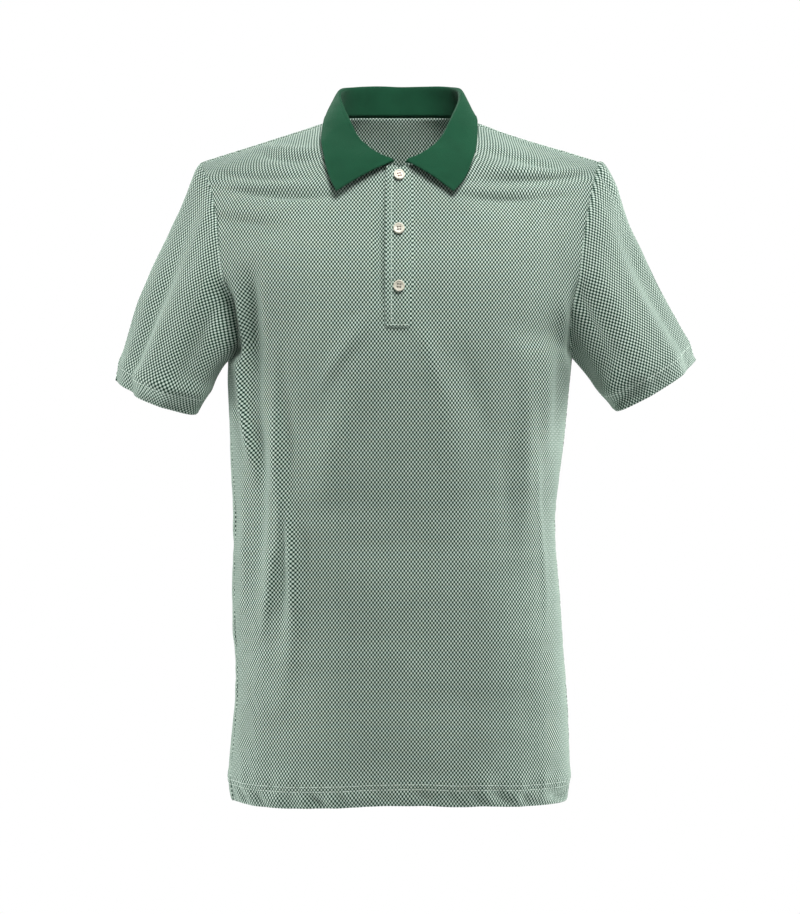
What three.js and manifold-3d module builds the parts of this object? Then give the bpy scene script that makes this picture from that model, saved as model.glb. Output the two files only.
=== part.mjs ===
// A short-sleeved polo shirt, filled out as worn, with open neck, hem and cuffs.
// Millimetres, +Z up. The front faces -Y and the shirt's left sleeve is on +X.
// The origin is midway between the two neck ends of the shoulder seams.
// Every cloth piece is a thin wall about its middle surface, which is lofted through sections.
import * as THREE from "three";
import Module from "manifold-3d";

const wasm = await Module();
wasm.setup();

// Driving dimensions
const CLOTH = 1.5; // the knitted body cloth
const COLLAR_CLOTH = 2.0; // the flat-knitted collar
const SEAM_GAP = 0.7; // between the middle edges of two pieces that are sewn together
const SLEEVE_GAP = { top: 1.1, armpit: 2.2 }; // and of a sleeve and its armhole, where the cloth turns
const HEM_BAND = 20; // depth of the turned hem of the body
const CUFF_BAND = 25; // depth of the turned hem of a sleeve
const HEM_STEP = 0.5; // how far a turned hem stands proud
const VENT_TOP_Z = -712; // the side seams are left open below this height
const VENT_GAP = 5; // how far apart the panels hang at the foot of a vent
const PLACKET_HALF_WIDTH = 15;
const PLACKET_FOOT_Z = -234;
const SLIT_HALF_WIDTH = 9; // the front is cut away this far each side behind the placket
const SLIT_FOOT_Z = -225;
const BUTTON_RADIUS = 6;
const BUTTON_THICKNESS = 2.4;
const BUTTON_HEIGHTS = [-68, -128, -190];
const BUTTON_X = -1;

// Where the side seams lie, as an angle round from the middle of the front
const SEAM_ANGLE = { left: THREE.MathUtils.degToRad(77), right: THREE.MathUtils.degToRad(86) };
// The part of a panel's half-width, from its middle, that ends at the neckline
const NECK_SHARE = 0.42;

// Closed sections from the hem up to the armpits.
// steps: how many rows of the wall lie between a section and the next.
const RINGS = [
  { z: -750, left: 190, right: 188, front: 110, back: 117, square: 2.3, steps: 2 },
  { z: -730, left: 190, right: 188, front: 110, back: 117, square: 2.3, steps: 2 },
  { z: -692, left: 187, right: 187, front: 110, back: 117, square: 2.3, steps: 3 },
  { z: -620, left: 182, right: 183, front: 109, back: 113, square: 2.35, steps: 4 },
  { z: -531, left: 186, right: 177, front: 106, back: 104, square: 2.4, steps: 4 },
  { z: -442, left: 184, right: 171, front: 106, back: 98, square: 2.4, steps: 4 },
  { z: -353, left: 188, right: 181, front: 112, back: 104, square: 2.45, steps: 4 },
  { z: -262, left: 190, right: 190, front: 118, back: 112, square: 2.5, steps: 1 },
];

// Open sections of the front above the armpits: the middle, and the armhole edge on each side.
// square: how flat a section stays before it turns towards the armhole.
const FRONT_ROWS = [
  {
    y: -119, z: -240, leftX: -183, leftY: -56, leftZ: -243,
    rightX: 190, rightY: -38, rightZ: -243, square: 3.2, steps: 2,
  },
  {
    y: -118.5, z: -208, leftX: -187, leftY: -65, leftZ: -210,
    rightX: 191, rightY: -60, rightZ: -210, square: 2.9, steps: 2,
  },
  {
    y: -115, z: -168, leftX: -195, leftY: -63, leftZ: -162,
    rightX: 196, rightY: -62, rightZ: -162, square: 2.7, steps: 4,
  },
  {
    y: -103, z: -126, leftX: -200, leftY: -52, leftZ: -116,
    rightX: 203, rightY: -52, rightZ: -116, square: 2.6, steps: 4,
  },
  {
    y: -91, z: -92, leftX: -208, leftY: -34, leftZ: -77,
    rightX: 211, rightY: -34, rightZ: -77, square: 2.6, steps: 4,
  },
];

// Open sections of the back above the armpits
const BACK_ROWS = [
  {
    y: 113.5, z: -243, leftX: -193, leftY: 14, leftZ: -250,
    rightX: 194, rightY: 34, rightZ: -246, square: 4.2, steps: 2,
  },
  {
    y: 113.5, z: -210, leftX: -199, leftY: 50, leftZ: -214,
    rightX: 199, rightY: 57, rightZ: -212, square: 3.3, steps: 2,
  },
  {
    y: 109, z: -165, leftX: -203, leftY: 62, leftZ: -163,
    rightX: 203, rightY: 61, rightZ: -163, square: 2.7, steps: 3,
  },
  {
    y: 100, z: -110, leftX: -207, leftY: 50, leftZ: -114,
    rightX: 207, rightY: 50, rightZ: -114, square: 2.6, steps: 3,
  },
  {
    y: 86, z: -58, leftX: -213, leftY: 29, leftZ: -76,
    rightX: 213, rightY: 29, rightZ: -76, square: 2.6, steps: 4,
  },
];

// The neckline and the shoulder seam of one side, from the middle out to the shoulder point.
// lean and rise: the way that the cloth arrives there, towards the back and up.
const FRONT_NECK = [
  { x: 0, y: -78.5, z: -60 },
  { x: 22, y: -75, z: -52 },
  { x: 42, y: -64, z: -36 },
  { x: 59, y: -43, z: -18 },
  { x: 70, y: -14, z: 0 },
];
const BACK_NECK = [
  { x: 0, y: 64, z: 13 },
  { x: 37, y: 58, z: 12 },
  { x: 63, y: 38, z: 9 },
  { x: 71, y: 11, z: 6 },
  { x: 70, y: -14, z: 0 },
];
const SHOULDER = [
  { x: 70, y: -14, z: 0 },
  { x: 100, y: -15, z: -10 },
  { x: 155, y: -16, z: -27.5 },
  { x: 219, y: -14, z: -47.5 },
];
// The direction of the cloth at the top edge: outwards, backwards and up, by share of the half-width
const FRONT_ARRIVAL = [
  { share: 0, out: 0, back: 0.42, up: 0.9 },
  { share: NECK_SHARE, out: 0, back: 0.84, up: 0.54 },
  { share: 1, out: 0, back: 0.86, up: 0.5 },
];
const BACK_ARRIVAL = [
  { share: 0, out: 0, back: 0.35, up: -0.94 },
  { share: NECK_SHARE * 0.5, out: 0.25, back: 0.7, up: -0.6 },
  { share: NECK_SHARE, out: 0.1, back: 0.88, up: 0.3 },
  { share: 1, out: 0, back: 0.88, up: 0.46 },
];

// Folds: troughs (depth below 0) and ridges on the face named, along a bent line in the front view
const FOLDS = [
  { face: -1, x0: -164, z0: -178, x1: -160, z1: -270, x2: -152, z2: -400, width: 11, depth: -9 },
  { face: -1, x0: -176, z0: -275, x1: -172, z1: -340, x2: -150, z2: -410, width: 9, depth: 5 },
  { face: -1, x0: -142, z0: -300, x1: -138, z1: -430, x2: -150, z2: -560, width: 11, depth: 6 },
  { face: -1, x0: -122, z0: -400, x1: -112, z1: -520, x2: -128, z2: -640, width: 10, depth: 5 },
  { face: -1, x0: -128, z0: -250, x1: -130, z1: -330, x2: -128, z2: -400, width: 14, depth: -4 },
  { face: -1, x0: -14, z0: -225, x1: -60, z1: -330, x2: -110, z2: -470, width: 20, depth: 4 },
  { face: -1, x0: 16, z0: -230, x1: 50, z1: -340, x2: 70, z2: -460, width: 20, depth: 3.5 },
  { face: -1, x0: 150, z0: -230, x1: 158, z1: -330, x2: 150, z2: -480, width: 13, depth: 5 },
  { face: -1, x0: 174, z0: -235, x1: 172, z1: -300, x2: 168, z2: -380, width: 9, depth: -5 },
  { face: -1, x0: -190, z0: -76, x1: -130, z1: -82, x2: -72, z2: -80, width: 8, depth: -3.5 },
  { face: -1, x0: -182, z0: -88, x1: -130, z1: -101, x2: -60, z2: -96, width: 8, depth: -4.5 },
  { face: -1, x0: -184, z0: -128, x1: -160, z1: -133, x2: -120, z2: -132, width: 8, depth: -3.5 },
  { face: -1, x0: -120, z0: -54, x1: -100, z1: -56, x2: -78, z2: -60, width: 7, depth: -3 },
  { face: -1, x0: 76, z0: -78, x1: 140, z1: -80, x2: 198, z2: -68, width: 8, depth: -3.5 },
  { face: -1, x0: 64, z0: -94, x1: 130, z1: -100, x2: 190, z2: -90, width: 8, depth: -4 },
  { face: -1, x0: 84, z0: -52, x1: 140, z1: -64, x2: 190, z2: -60, width: 8, depth: 2.5 },
  { face: 1, x0: -176, z0: -190, x1: -160, z1: -300, x2: -140, z2: -440, width: 14, depth: -6 },
  { face: 1, x0: 178, z0: -190, x1: 160, z1: -300, x2: 138, z2: -420, width: 14, depth: -6 },
  { face: 1, x0: -150, z0: -330, x1: -110, z1: -450, x2: -70, z2: -540, width: 18, depth: 5 },
  { face: 1, x0: 150, z0: -320, x1: 116, z1: -440, x2: 76, z2: -560, width: 18, depth: 5 },
  { face: 1, x0: -196, z0: -92, x1: -130, z1: -96, x2: -60, z2: -84, width: 10, depth: -3.5 },
  { face: 1, x0: 196, z0: -92, x1: 130, z1: -98, x2: 56, z2: -86, width: 10, depth: -3.5 },
  { face: 1, x0: 95, z0: -6, x1: 140, z1: -18, x2: 185, z2: -32, width: 12, depth: -4 },
  { face: 1, x0: -70, z0: -430, x1: 0, z1: -446, x2: 80, z2: -428, width: 14, depth: -4 },
];

// A sleeve: its cuff as an oval. outer and inner are the ends that the front view shows.
const SLEEVES = {
  left: { outerX: -313, outerZ: -288, innerX: -221, innerZ: -320, halfDepth: 57, droop: 13, bend: 0.27 },
  right: { outerX: 325, outerZ: -267, innerX: 236, innerZ: -319, halfDepth: 57, droop: 9, bend: 0.16 },
};
const CREASE_OUT = 5;
const CREASE_VALLEY = 5; // and the cloth in front of it dips this far
const SLEEVE_FOLDS = [
  { side: "left", turn: 118, width: 15, from: 0.02, to: 0.75, depth: -7 },
  { side: "left", turn: 88, width: 14, from: 0.1, to: 0.9, depth: 4 },
  { side: "left", turn: 240, width: 18, from: 0.05, to: 0.8, depth: -6 },
  { side: "right", turn: 116, width: 15, from: 0.02, to: 0.7, depth: -6 },
  { side: "right", turn: 84, width: 16, from: 0.15, to: 0.95, depth: 4 },
  { side: "right", turn: 242, width: 18, from: 0.05, to: 0.8, depth: -6 },
];
const SLEEVE_LONG = 13; // rows down a sleeve above its turned hem

// The collar, from its front end round to the middle of the back, on one side.
// fold: the top edge. edge: the outer edge of the fall, which the two sides show differently.
const COLLAR = [
  { neckShare: 0.1, foldX: 8, foldY: -82.5, foldZ: -51.5, leftX: 68, rightX: 57.5, edgeY: -101, edgeZ: -88 },
  { neckShare: 0.3, foldX: 26, foldY: -76, foldZ: -43, leftX: 76, rightX: 70, edgeY: -90, edgeZ: -71 },
  { neckShare: 0.55, foldX: 45, foldY: -58, foldZ: -25, leftX: 82, rightX: 79, edgeY: -74, edgeZ: -49 },
  { neckShare: 0.8, foldX: 59, foldY: -32, foldZ: 3, leftX: 86, rightX: 84.5, edgeY: -49, edgeZ: -25 },
  { neckShare: 1.0, foldX: 67, foldY: -5, foldZ: 24, leftX: 84, rightX: 84, edgeY: -15, edgeZ: 0.5 },
  { neckShare: 1.25, foldX: 67.5, foldY: 20, foldZ: 38, leftX: 79.5, rightX: 79.5, edgeY: 18, edgeZ: 8 },
  { neckShare: 1.5, foldX: 57.5, foldY: 43, foldZ: 44, leftX: 71, rightX: 71, edgeY: 49, edgeZ: 5 },
  { neckShare: 1.75, foldX: 34, foldY: 60, foldZ: 47, leftX: 45, rightX: 45, edgeY: 73, edgeZ: 3 },
  { neckShare: 2.0, foldX: 0, foldY: 66, foldZ: 48, leftX: 0, rightX: 0, edgeY: 81, edgeZ: 2 },
];
const COLLAR_AROUND = 40; // walls round the whole collar
const COLLAR_LIFT = 2.2; // the stand starts this far above the neckline
const FOLD_HALF_GAP = 2.2; // half the distance between stand and fall at the fold

const point = (p) => new THREE.Vector3(p.x, p.y, p.z);
const smooth = (t) => {
  const c = THREE.MathUtils.clamp(t, 0, 1);
  return c * c * (3 - 2 * c);
};
const signedPower = (value, power) => Math.sign(value) * Math.abs(value) ** power;

// A smooth curve through points, read by its length
function curveThrough(points) {
  const curve = new THREE.CatmullRomCurve3(points.map(point), false, "catmullrom", 0.5);
  curve.arcLengthDivisions = 120;
  return curve;
}

// Any function of 0 to 1 as a curve that is read by its length
class Drawn extends THREE.Curve {
  constructor(draw) {
    super();
    this.draw = draw;
    this.arcLengthDivisions = 120;
  }
  getPoint(t) {
    return this.draw(t);
  }
}

// A column of a short table, read between its rows
function between(rows, key, at, field) {
  let i = 0;
  while (i < rows.length - 2 && at > rows[i + 1][key]) i++;
  const t = THREE.MathUtils.clamp((at - rows[i][key]) / (rows[i + 1][key] - rows[i][key]), 0, 1);
  return THREE.MathUtils.lerp(rows[i][field], rows[i + 1][field], t);
}

// The body's panels: side is -1 for x below 0, and face is -1 for the front and 1 for the back

function ringPoint(ring, angle) {
  const across = Math.sin(angle);
  const forward = Math.cos(angle);
  const width = across < 0 ? ring.left : ring.right;
  const depth = forward < 0 ? ring.back : ring.front;
  const power = 2 / ring.square;
  return new THREE.Vector3(
    width * signedPower(across, power),
    -depth * signedPower(forward, power),
    ring.z,
  );
}

// How far a panel's edge stands back from the seam at a height: half the seam's gap, and more in a vent
function edgeSetback(z) {
  const vent = smooth((VENT_TOP_Z - z) / (VENT_TOP_Z - RINGS[0].z));
  return SEAM_GAP / 2 + (VENT_GAP / 2) * vent;
}

function halfRing(ring, side, face) {
  const seam = side * (side < 0 ? SEAM_ANGLE.left : SEAM_ANGLE.right);
  const middle = face < 0 ? 0 : side * Math.PI;
  const whole = new Drawn((t) => ringPoint(ring, THREE.MathUtils.lerp(middle, seam, t)));
  const share = 1 - edgeSetback(ring.z) / whole.getLength();
  return new Drawn((t) => whole.getPointAt(t * share));
}

function halfRow(row, side) {
  const x = side < 0 ? row.leftX : row.rightX;
  const y = side < 0 ? row.leftY : row.rightY;
  const z = side < 0 ? row.leftZ : row.rightZ;
  return new Drawn(
    (t) =>
      new THREE.Vector3(
        x * t,
        row.y + (y - row.y) * t ** row.square,
        row.z + (z - row.z) * t * t,
      ),
  );
}

// The top edge of a panel: its neckline, then the shoulder seam
function halfTop(side, face) {
  const neck = curveThrough(face < 0 ? FRONT_NECK : BACK_NECK);
  const shoulder = curveThrough(SHOULDER);
  return {
    getPointAt(t) {
      const p =
        t <= NECK_SHARE
          ? neck.getPointAt(t / NECK_SHARE)
          : shoulder.getPointAt((t - NECK_SHARE) / (1 - NECK_SHARE));
      p.x *= side;
      // the shoulder seam's gap lies half on each panel
      if (t >= NECK_SHARE) p.y += (face * SEAM_GAP) / 2;
      return p;
    },
    getLength: () => neck.getLength() + shoulder.getLength(),
  };
}

function arrival(share, side, face) {
  const rows = face < 0 ? FRONT_ARRIVAL : BACK_ARRIVAL;
  const way = (field) => between(rows, "share", share, field);
  const v = new THREE.Vector3(side * way("out"), way("back"), way("up")).normalize();
  return v;
}

function makePanel(face) {
  const upper = face < 0 ? FRONT_ROWS : BACK_ROWS;
  const rows = [...RINGS.map((r) => ({ ...r, ring: true })), ...upper];
  const halves = [-1, 1].map((side) => [
    ...rows.map((r) => (r.ring ? halfRing(r, side, face) : halfRow(r, side))),
    halfTop(side, face),
  ]);
  const lengths = halves.map((half) => half.map((c) => c.getLength()));
  return { face, steps: rows.map((r) => r.steps), halves, lengths, count: rows.length + 1 };
}

// The knots of one line up a panel. shares gives, for each section, the signed share of the half-width.
function knotsOf(panel, shares) {
  return shares.map((s, i) => panel.halves[s < 0 ? 0 : 1][i].getPointAt(Math.min(Math.abs(s), 1)));
}

// A point on the smooth line through the knots, at v counted in sections
function onLine(panel, knots, shares, v) {
  const last = knots.length - 1;
  const i = Math.min(Math.floor(v), last - 1);
  const t = v - i;
  const slope = (k, above) => {
    if (k === last) {
      const s = shares[last];
      const toBack = arrival(Math.abs(s), s < 0 ? -1 : 1, panel.face);
      return panel.face < 0 ? toBack : toBack.negate();
    }
    const ahead = knots[k + 1].clone().sub(knots[k]);
    if (k === 0) return ahead.normalize();
    const behind = knots[k].clone().sub(knots[k - 1]);
    const a = ahead.length();
    const b = behind.length();
    const onward = (above ? ahead : behind).clone().normalize();
    const through = ahead.multiplyScalar(b / a).add(behind.multiplyScalar(a / b)).divideScalar(a + b);
    // the armpit is a corner of the panel, where the side seam ends and the armhole begins
    return k === armpitSection ? through.lerp(onward, Math.abs(shares[k]) ** 4) : through;
  };
  const long = knots[i + 1].distanceTo(knots[i]);
  const start = slope(i, true).multiplyScalar(long);
  const end = slope(i + 1, false).multiplyScalar(long);
  return knots[i]
    .clone()
    .multiplyScalar(2 * t ** 3 - 3 * t ** 2 + 1)
    .addScaledVector(start, t ** 3 - 2 * t ** 2 + t)
    .addScaledVector(knots[i + 1], -2 * t ** 3 + 3 * t ** 2)
    .addScaledVector(end, t ** 3 - t ** 2);
}

// The heights of a wall's rows, counted in sections
function rowHeights(steps) {
  const heights = [];
  steps.forEach((n, i) => {
    for (let k = 0; k < n; k++) heights.push(i + k / n);
  });
  return [...heights, steps.length];
}

// How far the cloth of a face is folded out of the smooth surface at a point
function foldDepth(p) {
  let sum = 0;
  for (const f of FOLDS) {
    const onFace = smooth((p.y * f.face + 30) / 60);
    if (!onFace) continue;
    const line = new THREE.QuadraticBezierCurve(
      new THREE.Vector2(f.x0, f.z0),
      new THREE.Vector2(2 * f.x1 - (f.x0 + f.x2) / 2, 2 * f.z1 - (f.z0 + f.z2) / 2),
      new THREE.Vector2(f.x2, f.z2),
    );
    const spot = new THREE.Vector2(p.x, p.z);
    const path = line.getPoints(10);
    let near = Infinity;
    let along = 0;
    for (let k = 0; k < 10; k++) {
      const way = path[k + 1].clone().sub(path[k]);
      const from = spot.clone().sub(path[k]);
      const t = THREE.MathUtils.clamp(from.dot(way) / way.lengthSq(), 0, 1);
      const far = from.addScaledVector(way, -t).length();
      if (far < near) [near, along] = [far, (k + t) / 10];
    }
    if (near > 3 * f.width) continue;
    const fade = Math.sin(Math.PI * THREE.MathUtils.clamp(along, 0.08, 0.92));
    sum += f.depth * onFace * Math.exp(-((near / f.width) ** 2)) * fade;
  }
  return sum;
}

// A grid of middle points gets its normals, and then its folds
function normalsOf(grid, outward, closed = false) {
  const high = grid.length;
  const wide = grid[0].length;
  return grid.map((row, j) =>
    row.map((_, i) => {
      const before = closed ? (i + wide - 1) % wide : Math.max(i - 1, 0);
      const after = closed ? (i + 1) % wide : Math.min(i + 1, wide - 1);
      const across = row[after].clone().sub(row[before]);
      const up = grid[Math.min(j + 1, high - 1)][i].clone().sub(grid[Math.max(j - 1, 0)][i]);
      return across.cross(up).multiplyScalar(outward).normalize();
    }),
  );
}

// A closed wall about a grid of middle points. kept says which cells have cloth.
function wall(grid, normals, { half, proud = () => 0, closed = false, kept = () => true, outward = 1 }) {
  const high = grid.length;
  const wide = grid[0].length;
  const cells = closed ? wide : wide - 1;
  const positions = [];
  const at = (j, i, skin) => {
    const n = normals[j][i];
    return grid[j][i].clone().addScaledVector(n, skin * half + (skin > 0 ? proud(j) : 0));
  };
  const put = (a, b, c) => {
    for (const p of outward > 0 ? [a, b, c] : [a, c, b]) positions.push(p.x, p.y, p.z);
  };
  const quad = (a, b, c, d) => {
    put(a, b, c);
    put(a, c, d);
  };
  const has = (j, i) => {
    const column = closed ? (i + cells) % cells : i;
    return j >= 0 && j < high - 1 && column >= 0 && column < cells && kept(j, column);
  };
  for (let j = 0; j < high - 1; j++)
    for (let i = 0; i < cells; i++) {
      if (!has(j, i)) continue;
      const r = (i + 1) % wide;
      const outer = [at(j, i, 1), at(j, r, 1), at(j + 1, r, 1), at(j + 1, i, 1)];
      const inner = [at(j, i, -1), at(j, r, -1), at(j + 1, r, -1), at(j + 1, i, -1)];
      quad(...outer);
      quad(inner[3], inner[2], inner[1], inner[0]);
      if (!has(j - 1, i)) quad(inner[0], inner[1], outer[1], outer[0]);
      if (!has(j + 1, i)) quad(outer[3], outer[2], inner[2], inner[3]);
      if (!has(j, i - 1)) quad(inner[3], inner[0], outer[0], outer[3]);
      if (!has(j, i + 1)) quad(outer[2], outer[1], inner[1], inner[2]);
    }
  const geometry = new THREE.BufferGeometry();
  geometry.setAttribute("position", new THREE.Float32BufferAttribute(positions, 3));
  geometry.computeVertexNormals();
  return geometry;
}

// A grid up a panel. shareOf gives the share of the half-width for a section and a column.
function panelGrid(panel, columns, shareOf, heights) {
  const lines = columns.map((column) => {
    const shares = Array.from({ length: panel.count }, (_, i) => shareOf(i, column));
    const knots = knotsOf(panel, shares);
    return heights.map((v) => onLine(panel, knots, shares, v));
  });
  return heights.map((_, j) => lines.map((line) => line[j]));
}

function folded(grid, normals) {
  return grid.map((row, j) =>
    row.map((p, i) => p.clone().addScaledVector(normals[j][i], foldDepth(p))),
  );
}

const mirrorShares = (shares) => [...shares.slice(1).reverse().map((s) => -s), ...shares];

// Shares from the middle out: the slit's edge, the neckline's columns, then the shoulder's
function panelShares(neckColumns, shoulderColumns) {
  const shares = [0];
  for (let i = 1; i <= neckColumns; i++) shares.push((NECK_SHARE * i) / neckColumns);
  for (let i = 1; i <= shoulderColumns; i++)
    shares.push(NECK_SHARE + ((1 - NECK_SHARE) * i) / shoulderColumns);
  return mirrorShares(shares);
}

const armpitSection = RINGS.length - 1;
const armpitRow = RINGS.slice(0, -1).reduce((sum, r) => sum + r.steps, 0);
const front = makePanel(-1);
const back = makePanel(1);

function bodyPanel(panel, columns, kept) {
  const heights = rowHeights(panel.steps);
  const smoothGrid = panelGrid(panel, columns, (_, column) => column, heights);
  const outward = panel.face < 0 ? 1 : -1;
  const grid = folded(smoothGrid, normalsOf(smoothGrid, outward));
  const normals = normalsOf(grid, outward);
  const proud = (j) => (grid[j][0].z < RINGS[0].z + HEM_BAND + 0.5 ? HEM_STEP : 0);
  const geometry = wall(grid, normals, {
    half: CLOTH / 2,
    proud,
    outward,
    kept: (j, i) => kept(grid, j, i),
  });
  return { grid, geometry };
}

// Strips that lie on the front: columns at true distances from the middle, moved out or in
function strip({ xs, top, bottom, rows, offset, half }) {
  const shareOf = (i, x) => x / front.lengths[x < 0 ? 0 : 1][i] * (i === front.count - 1 ? neckStretch : 1);
  const heights = [];
  for (let k = 0; k <= rows; k++) heights.push(heightAt(THREE.MathUtils.lerp(bottom, top, k / rows)));
  const smoothGrid = panelGrid(front, xs, shareOf, heights);
  const base = folded(smoothGrid, normalsOf(smoothGrid, 1));
  const normals = normalsOf(base, 1);
  const grid = base.map((row, j) =>
    row.map((p, i) => p.clone().addScaledVector(normals[j][i], offset)),
  );
  return { grid, normals, geometry: wall(grid, normals, { half }) };
}
// At the top edge a share of the neckline is longer than the same share of a section
const neckStretch =
  (front.lengths[1][front.count - 1] * NECK_SHARE) / curveThrough(FRONT_NECK).getLength();

// The height, counted in sections, at which the middle of the front is at z
function heightAt(z) {
  const shares = Array(front.count).fill(0);
  const knots = knotsOf(front, shares);
  let low = 0;
  let high = front.count - 1;
  for (let k = 0; k < 30; k++) {
    const middle = (low + high) / 2;
    if (onLine(front, knots, shares, middle).z < z) low = middle;
    else high = middle;
  }
  return (low + high) / 2;
}

// The armhole of one side, from the panels' edges: down the front from the shoulder, and up the back.
// turn: 0 at the shoulder point, a half at the armpit and 1 at the shoulder again.
function armhole(side) {
  const edge = ({ grid }) => grid.slice(armpitRow).map((row) => row.at(side < 0 ? 0 : -1));
  const down = edge(frontPanel).reverse();
  const up = edge(backPanel);
  const shoulder = down[0].clone().lerp(up.at(-1), 0.5);
  const armpit = down.at(-1).clone().lerp(up[0], 0.5);
  const measured = (points, from) => {
    let far = 0;
    const lengths = points.map((p, i) => (far += i ? p.distanceTo(points[i - 1]) : 0));
    return points.map((p, i) => ({ p, turn: from + (0.5 * lengths[i]) / far }));
  };
  return [
    ...measured([shoulder, ...down.slice(1, -1), armpit], 0),
    ...measured([armpit, ...up.slice(1, -1), shoulder], 0.5).slice(1, -1),
  ];
}

function sleeve(name) {
  const side = name === "left" ? -1 : 1;
  const cuff = SLEEVES[name];
  const ring = armhole(side);
  const outer = new THREE.Vector3(cuff.outerX, 0, cuff.outerZ);
  const inner = new THREE.Vector3(cuff.innerX, 0, cuff.innerZ);
  const centre = outer.clone().add(inner).multiplyScalar(0.5);
  const across = outer.clone().sub(inner).multiplyScalar(0.5);
  const forward = new THREE.Vector3(0, -cuff.halfDepth, -cuff.droop);
  const axis = new THREE.Vector3().crossVectors(across, forward).normalize();
  if (axis.z > 0) axis.negate();
  const cuffPoint = (turn) => {
    const a = turn * 2 * Math.PI;
    return centre
      .clone()
      .addScaledVector(across, Math.cos(a))
      .addScaledVector(forward, Math.sin(a));
  };
  const leaving = (turn) => {
    const a = turn * 2 * Math.PI;
    const low = (1 - Math.cos(a)) / 2;
    return new THREE.Vector3(
      side * THREE.MathUtils.lerp(0.86, 0.8, low),
      -0.25 * Math.sin(a),
      -THREE.MathUtils.lerp(0.5, 0.6, low),
    ).normalize();
  };
  const downLine = ({ p, turn }, t) => {
    const start = p.clone();
    const end = cuffPoint(turn);
    const way = leaving(turn);
    const low = smooth((1 - Math.cos(turn * 2 * Math.PI)) / 2);
    start.addScaledVector(way, THREE.MathUtils.lerp(SLEEVE_GAP.top, SLEEVE_GAP.armpit, low));
    const long = end.distanceTo(start);
    return start
      .multiplyScalar(2 * t ** 3 - 3 * t ** 2 + 1)
      .addScaledVector(way, cuff.bend * long * (t ** 3 - 2 * t ** 2 + t))
      .addScaledVector(end, -2 * t ** 3 + 3 * t ** 2)
      .addScaledVector(axis, 0.7 * long * (t ** 3 - t ** 2));
  };
  const topLength = outer.distanceTo(point(SHOULDER.at(-1)).multiply(new THREE.Vector3(side, 1, 1)));
  const bandStart = 1 - CUFF_BAND / topLength;
  const rows = [];
  for (let k = 0; k <= SLEEVE_LONG; k++) rows.push((bandStart * k) / SLEEVE_LONG);
  rows.push(bandStart + 0.004, 1);
  const smoothGrid = rows.map((t) => ring.map((spot) => downLine(spot, t)));
  const outward = side;
  const first = normalsOf(smoothGrid, outward, true);
  const grid = smoothGrid.map((row, j) =>
    row.map((p, i) => p.clone().addScaledVector(first[j][i], sleeveFold(name, ring[i].turn, rows[j]))),
  );
  const normals = normalsOf(grid, outward, true);
  return wall(grid, normals, {
    half: CLOTH / 2,
    proud: (j) => (rows[j] > bandStart + 0.001 ? HEM_STEP : 0),
    closed: true,
    outward,
  });
}

function sleeveFold(name, turn, t) {
  const degrees = turn * 360;
  const fromTop = Math.min(degrees, 360 - degrees);
  const grown = smooth((t - 0.05) / 0.5);
  const ahead = degrees < 180 ? degrees : degrees - 360;
  let depth = CREASE_OUT * grown * Math.exp(-fromTop / 9);
  depth -= CREASE_VALLEY * grown * Math.exp(-(((ahead - 27) / 14) ** 2));
  for (const f of SLEEVE_FOLDS) {
    if (f.side !== name) continue;
    const along = (t - f.from) / (f.to - f.from);
    if (along <= 0 || along >= 1) continue;
    depth += f.depth * Math.sin(Math.PI * along) * Math.exp(-(((degrees - f.turn) / f.width) ** 2));
  }
  return depth;
}

// The collar: a stand from the neckline up to the fold, and a fall from the fold down to its edge
function collar() {
  const necks = { front: curveThrough(FRONT_NECK), back: curveThrough(BACK_NECK) };
  const last = COLLAR.length - 1;
  const curveOf = (pick) => curveThrough([...COLLAR.map(pick), ...COLLAR.slice(0, -1).reverse().map((r) => {
    const p = pick(r);
    return { ...p, x: -p.x };
  })]);
  const share = curveOf((r) => ({ x: 0, y: r.neckShare, z: 0 }));
  const fold = curveOf((r) => ({ x: r.foldX, y: r.foldY, z: r.foldZ }));
  const edges = {
    right: curveOf((r) => ({ x: r.rightX, y: r.edgeY, z: r.edgeZ })),
    left: curveOf((r) => ({ x: r.leftX, y: r.edgeY, z: r.edgeZ })),
  };
  const grid = [];
  for (let i = 0; i <= COLLAR_AROUND; i++) {
    const t = i / COLLAR_AROUND;
    const side = t <= 0.5 ? 1 : -1;
    const s = share.getPoint(t).y;
    const neck = s <= 1 ? necks.front.getPointAt(s) : necks.back.getPointAt(2 - s);
    neck.x *= side;
    const top = fold.getPoint(t);
    const low = edges[side > 0 ? "right" : "left"].getPoint(t);
    const out = low.clone().sub(top).setZ(0);
    const ring = top.clone().setZ(0).setY(top.y + 5).normalize();
    out.normalize().add(ring).normalize();
    neck.z += COLLAR_LIFT;
    const within = top.clone().addScaledVector(out, -FOLD_HALF_GAP);
    const beyond = top.clone().addScaledVector(out, FOLD_HALF_GAP);
    within.z -= FOLD_HALF_GAP;
    beyond.z -= FOLD_HALF_GAP;
    const standMiddle = neck.clone().lerp(within, 0.5);
    const bulge = 0.04 * low.distanceTo(beyond);
    const third = (k) => beyond.clone().lerp(low, k).addScaledVector(out, bulge * Math.sin(Math.PI * k) ** 0.8)
      .add(new THREE.Vector3(0, 0, 0.4 * bulge * Math.sin(Math.PI * k)));
    grid.push([neck, standMiddle, within, top, beyond, third(0.25), third(0.5), third(0.75), low]);
  }
  const across = grid[0].map((_, w) => grid.map((column) => column[w]));
  const normals = normalsOf(across, 1);
  return wall(across, normals, { half: COLLAR_CLOTH / 2 });
}

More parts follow.
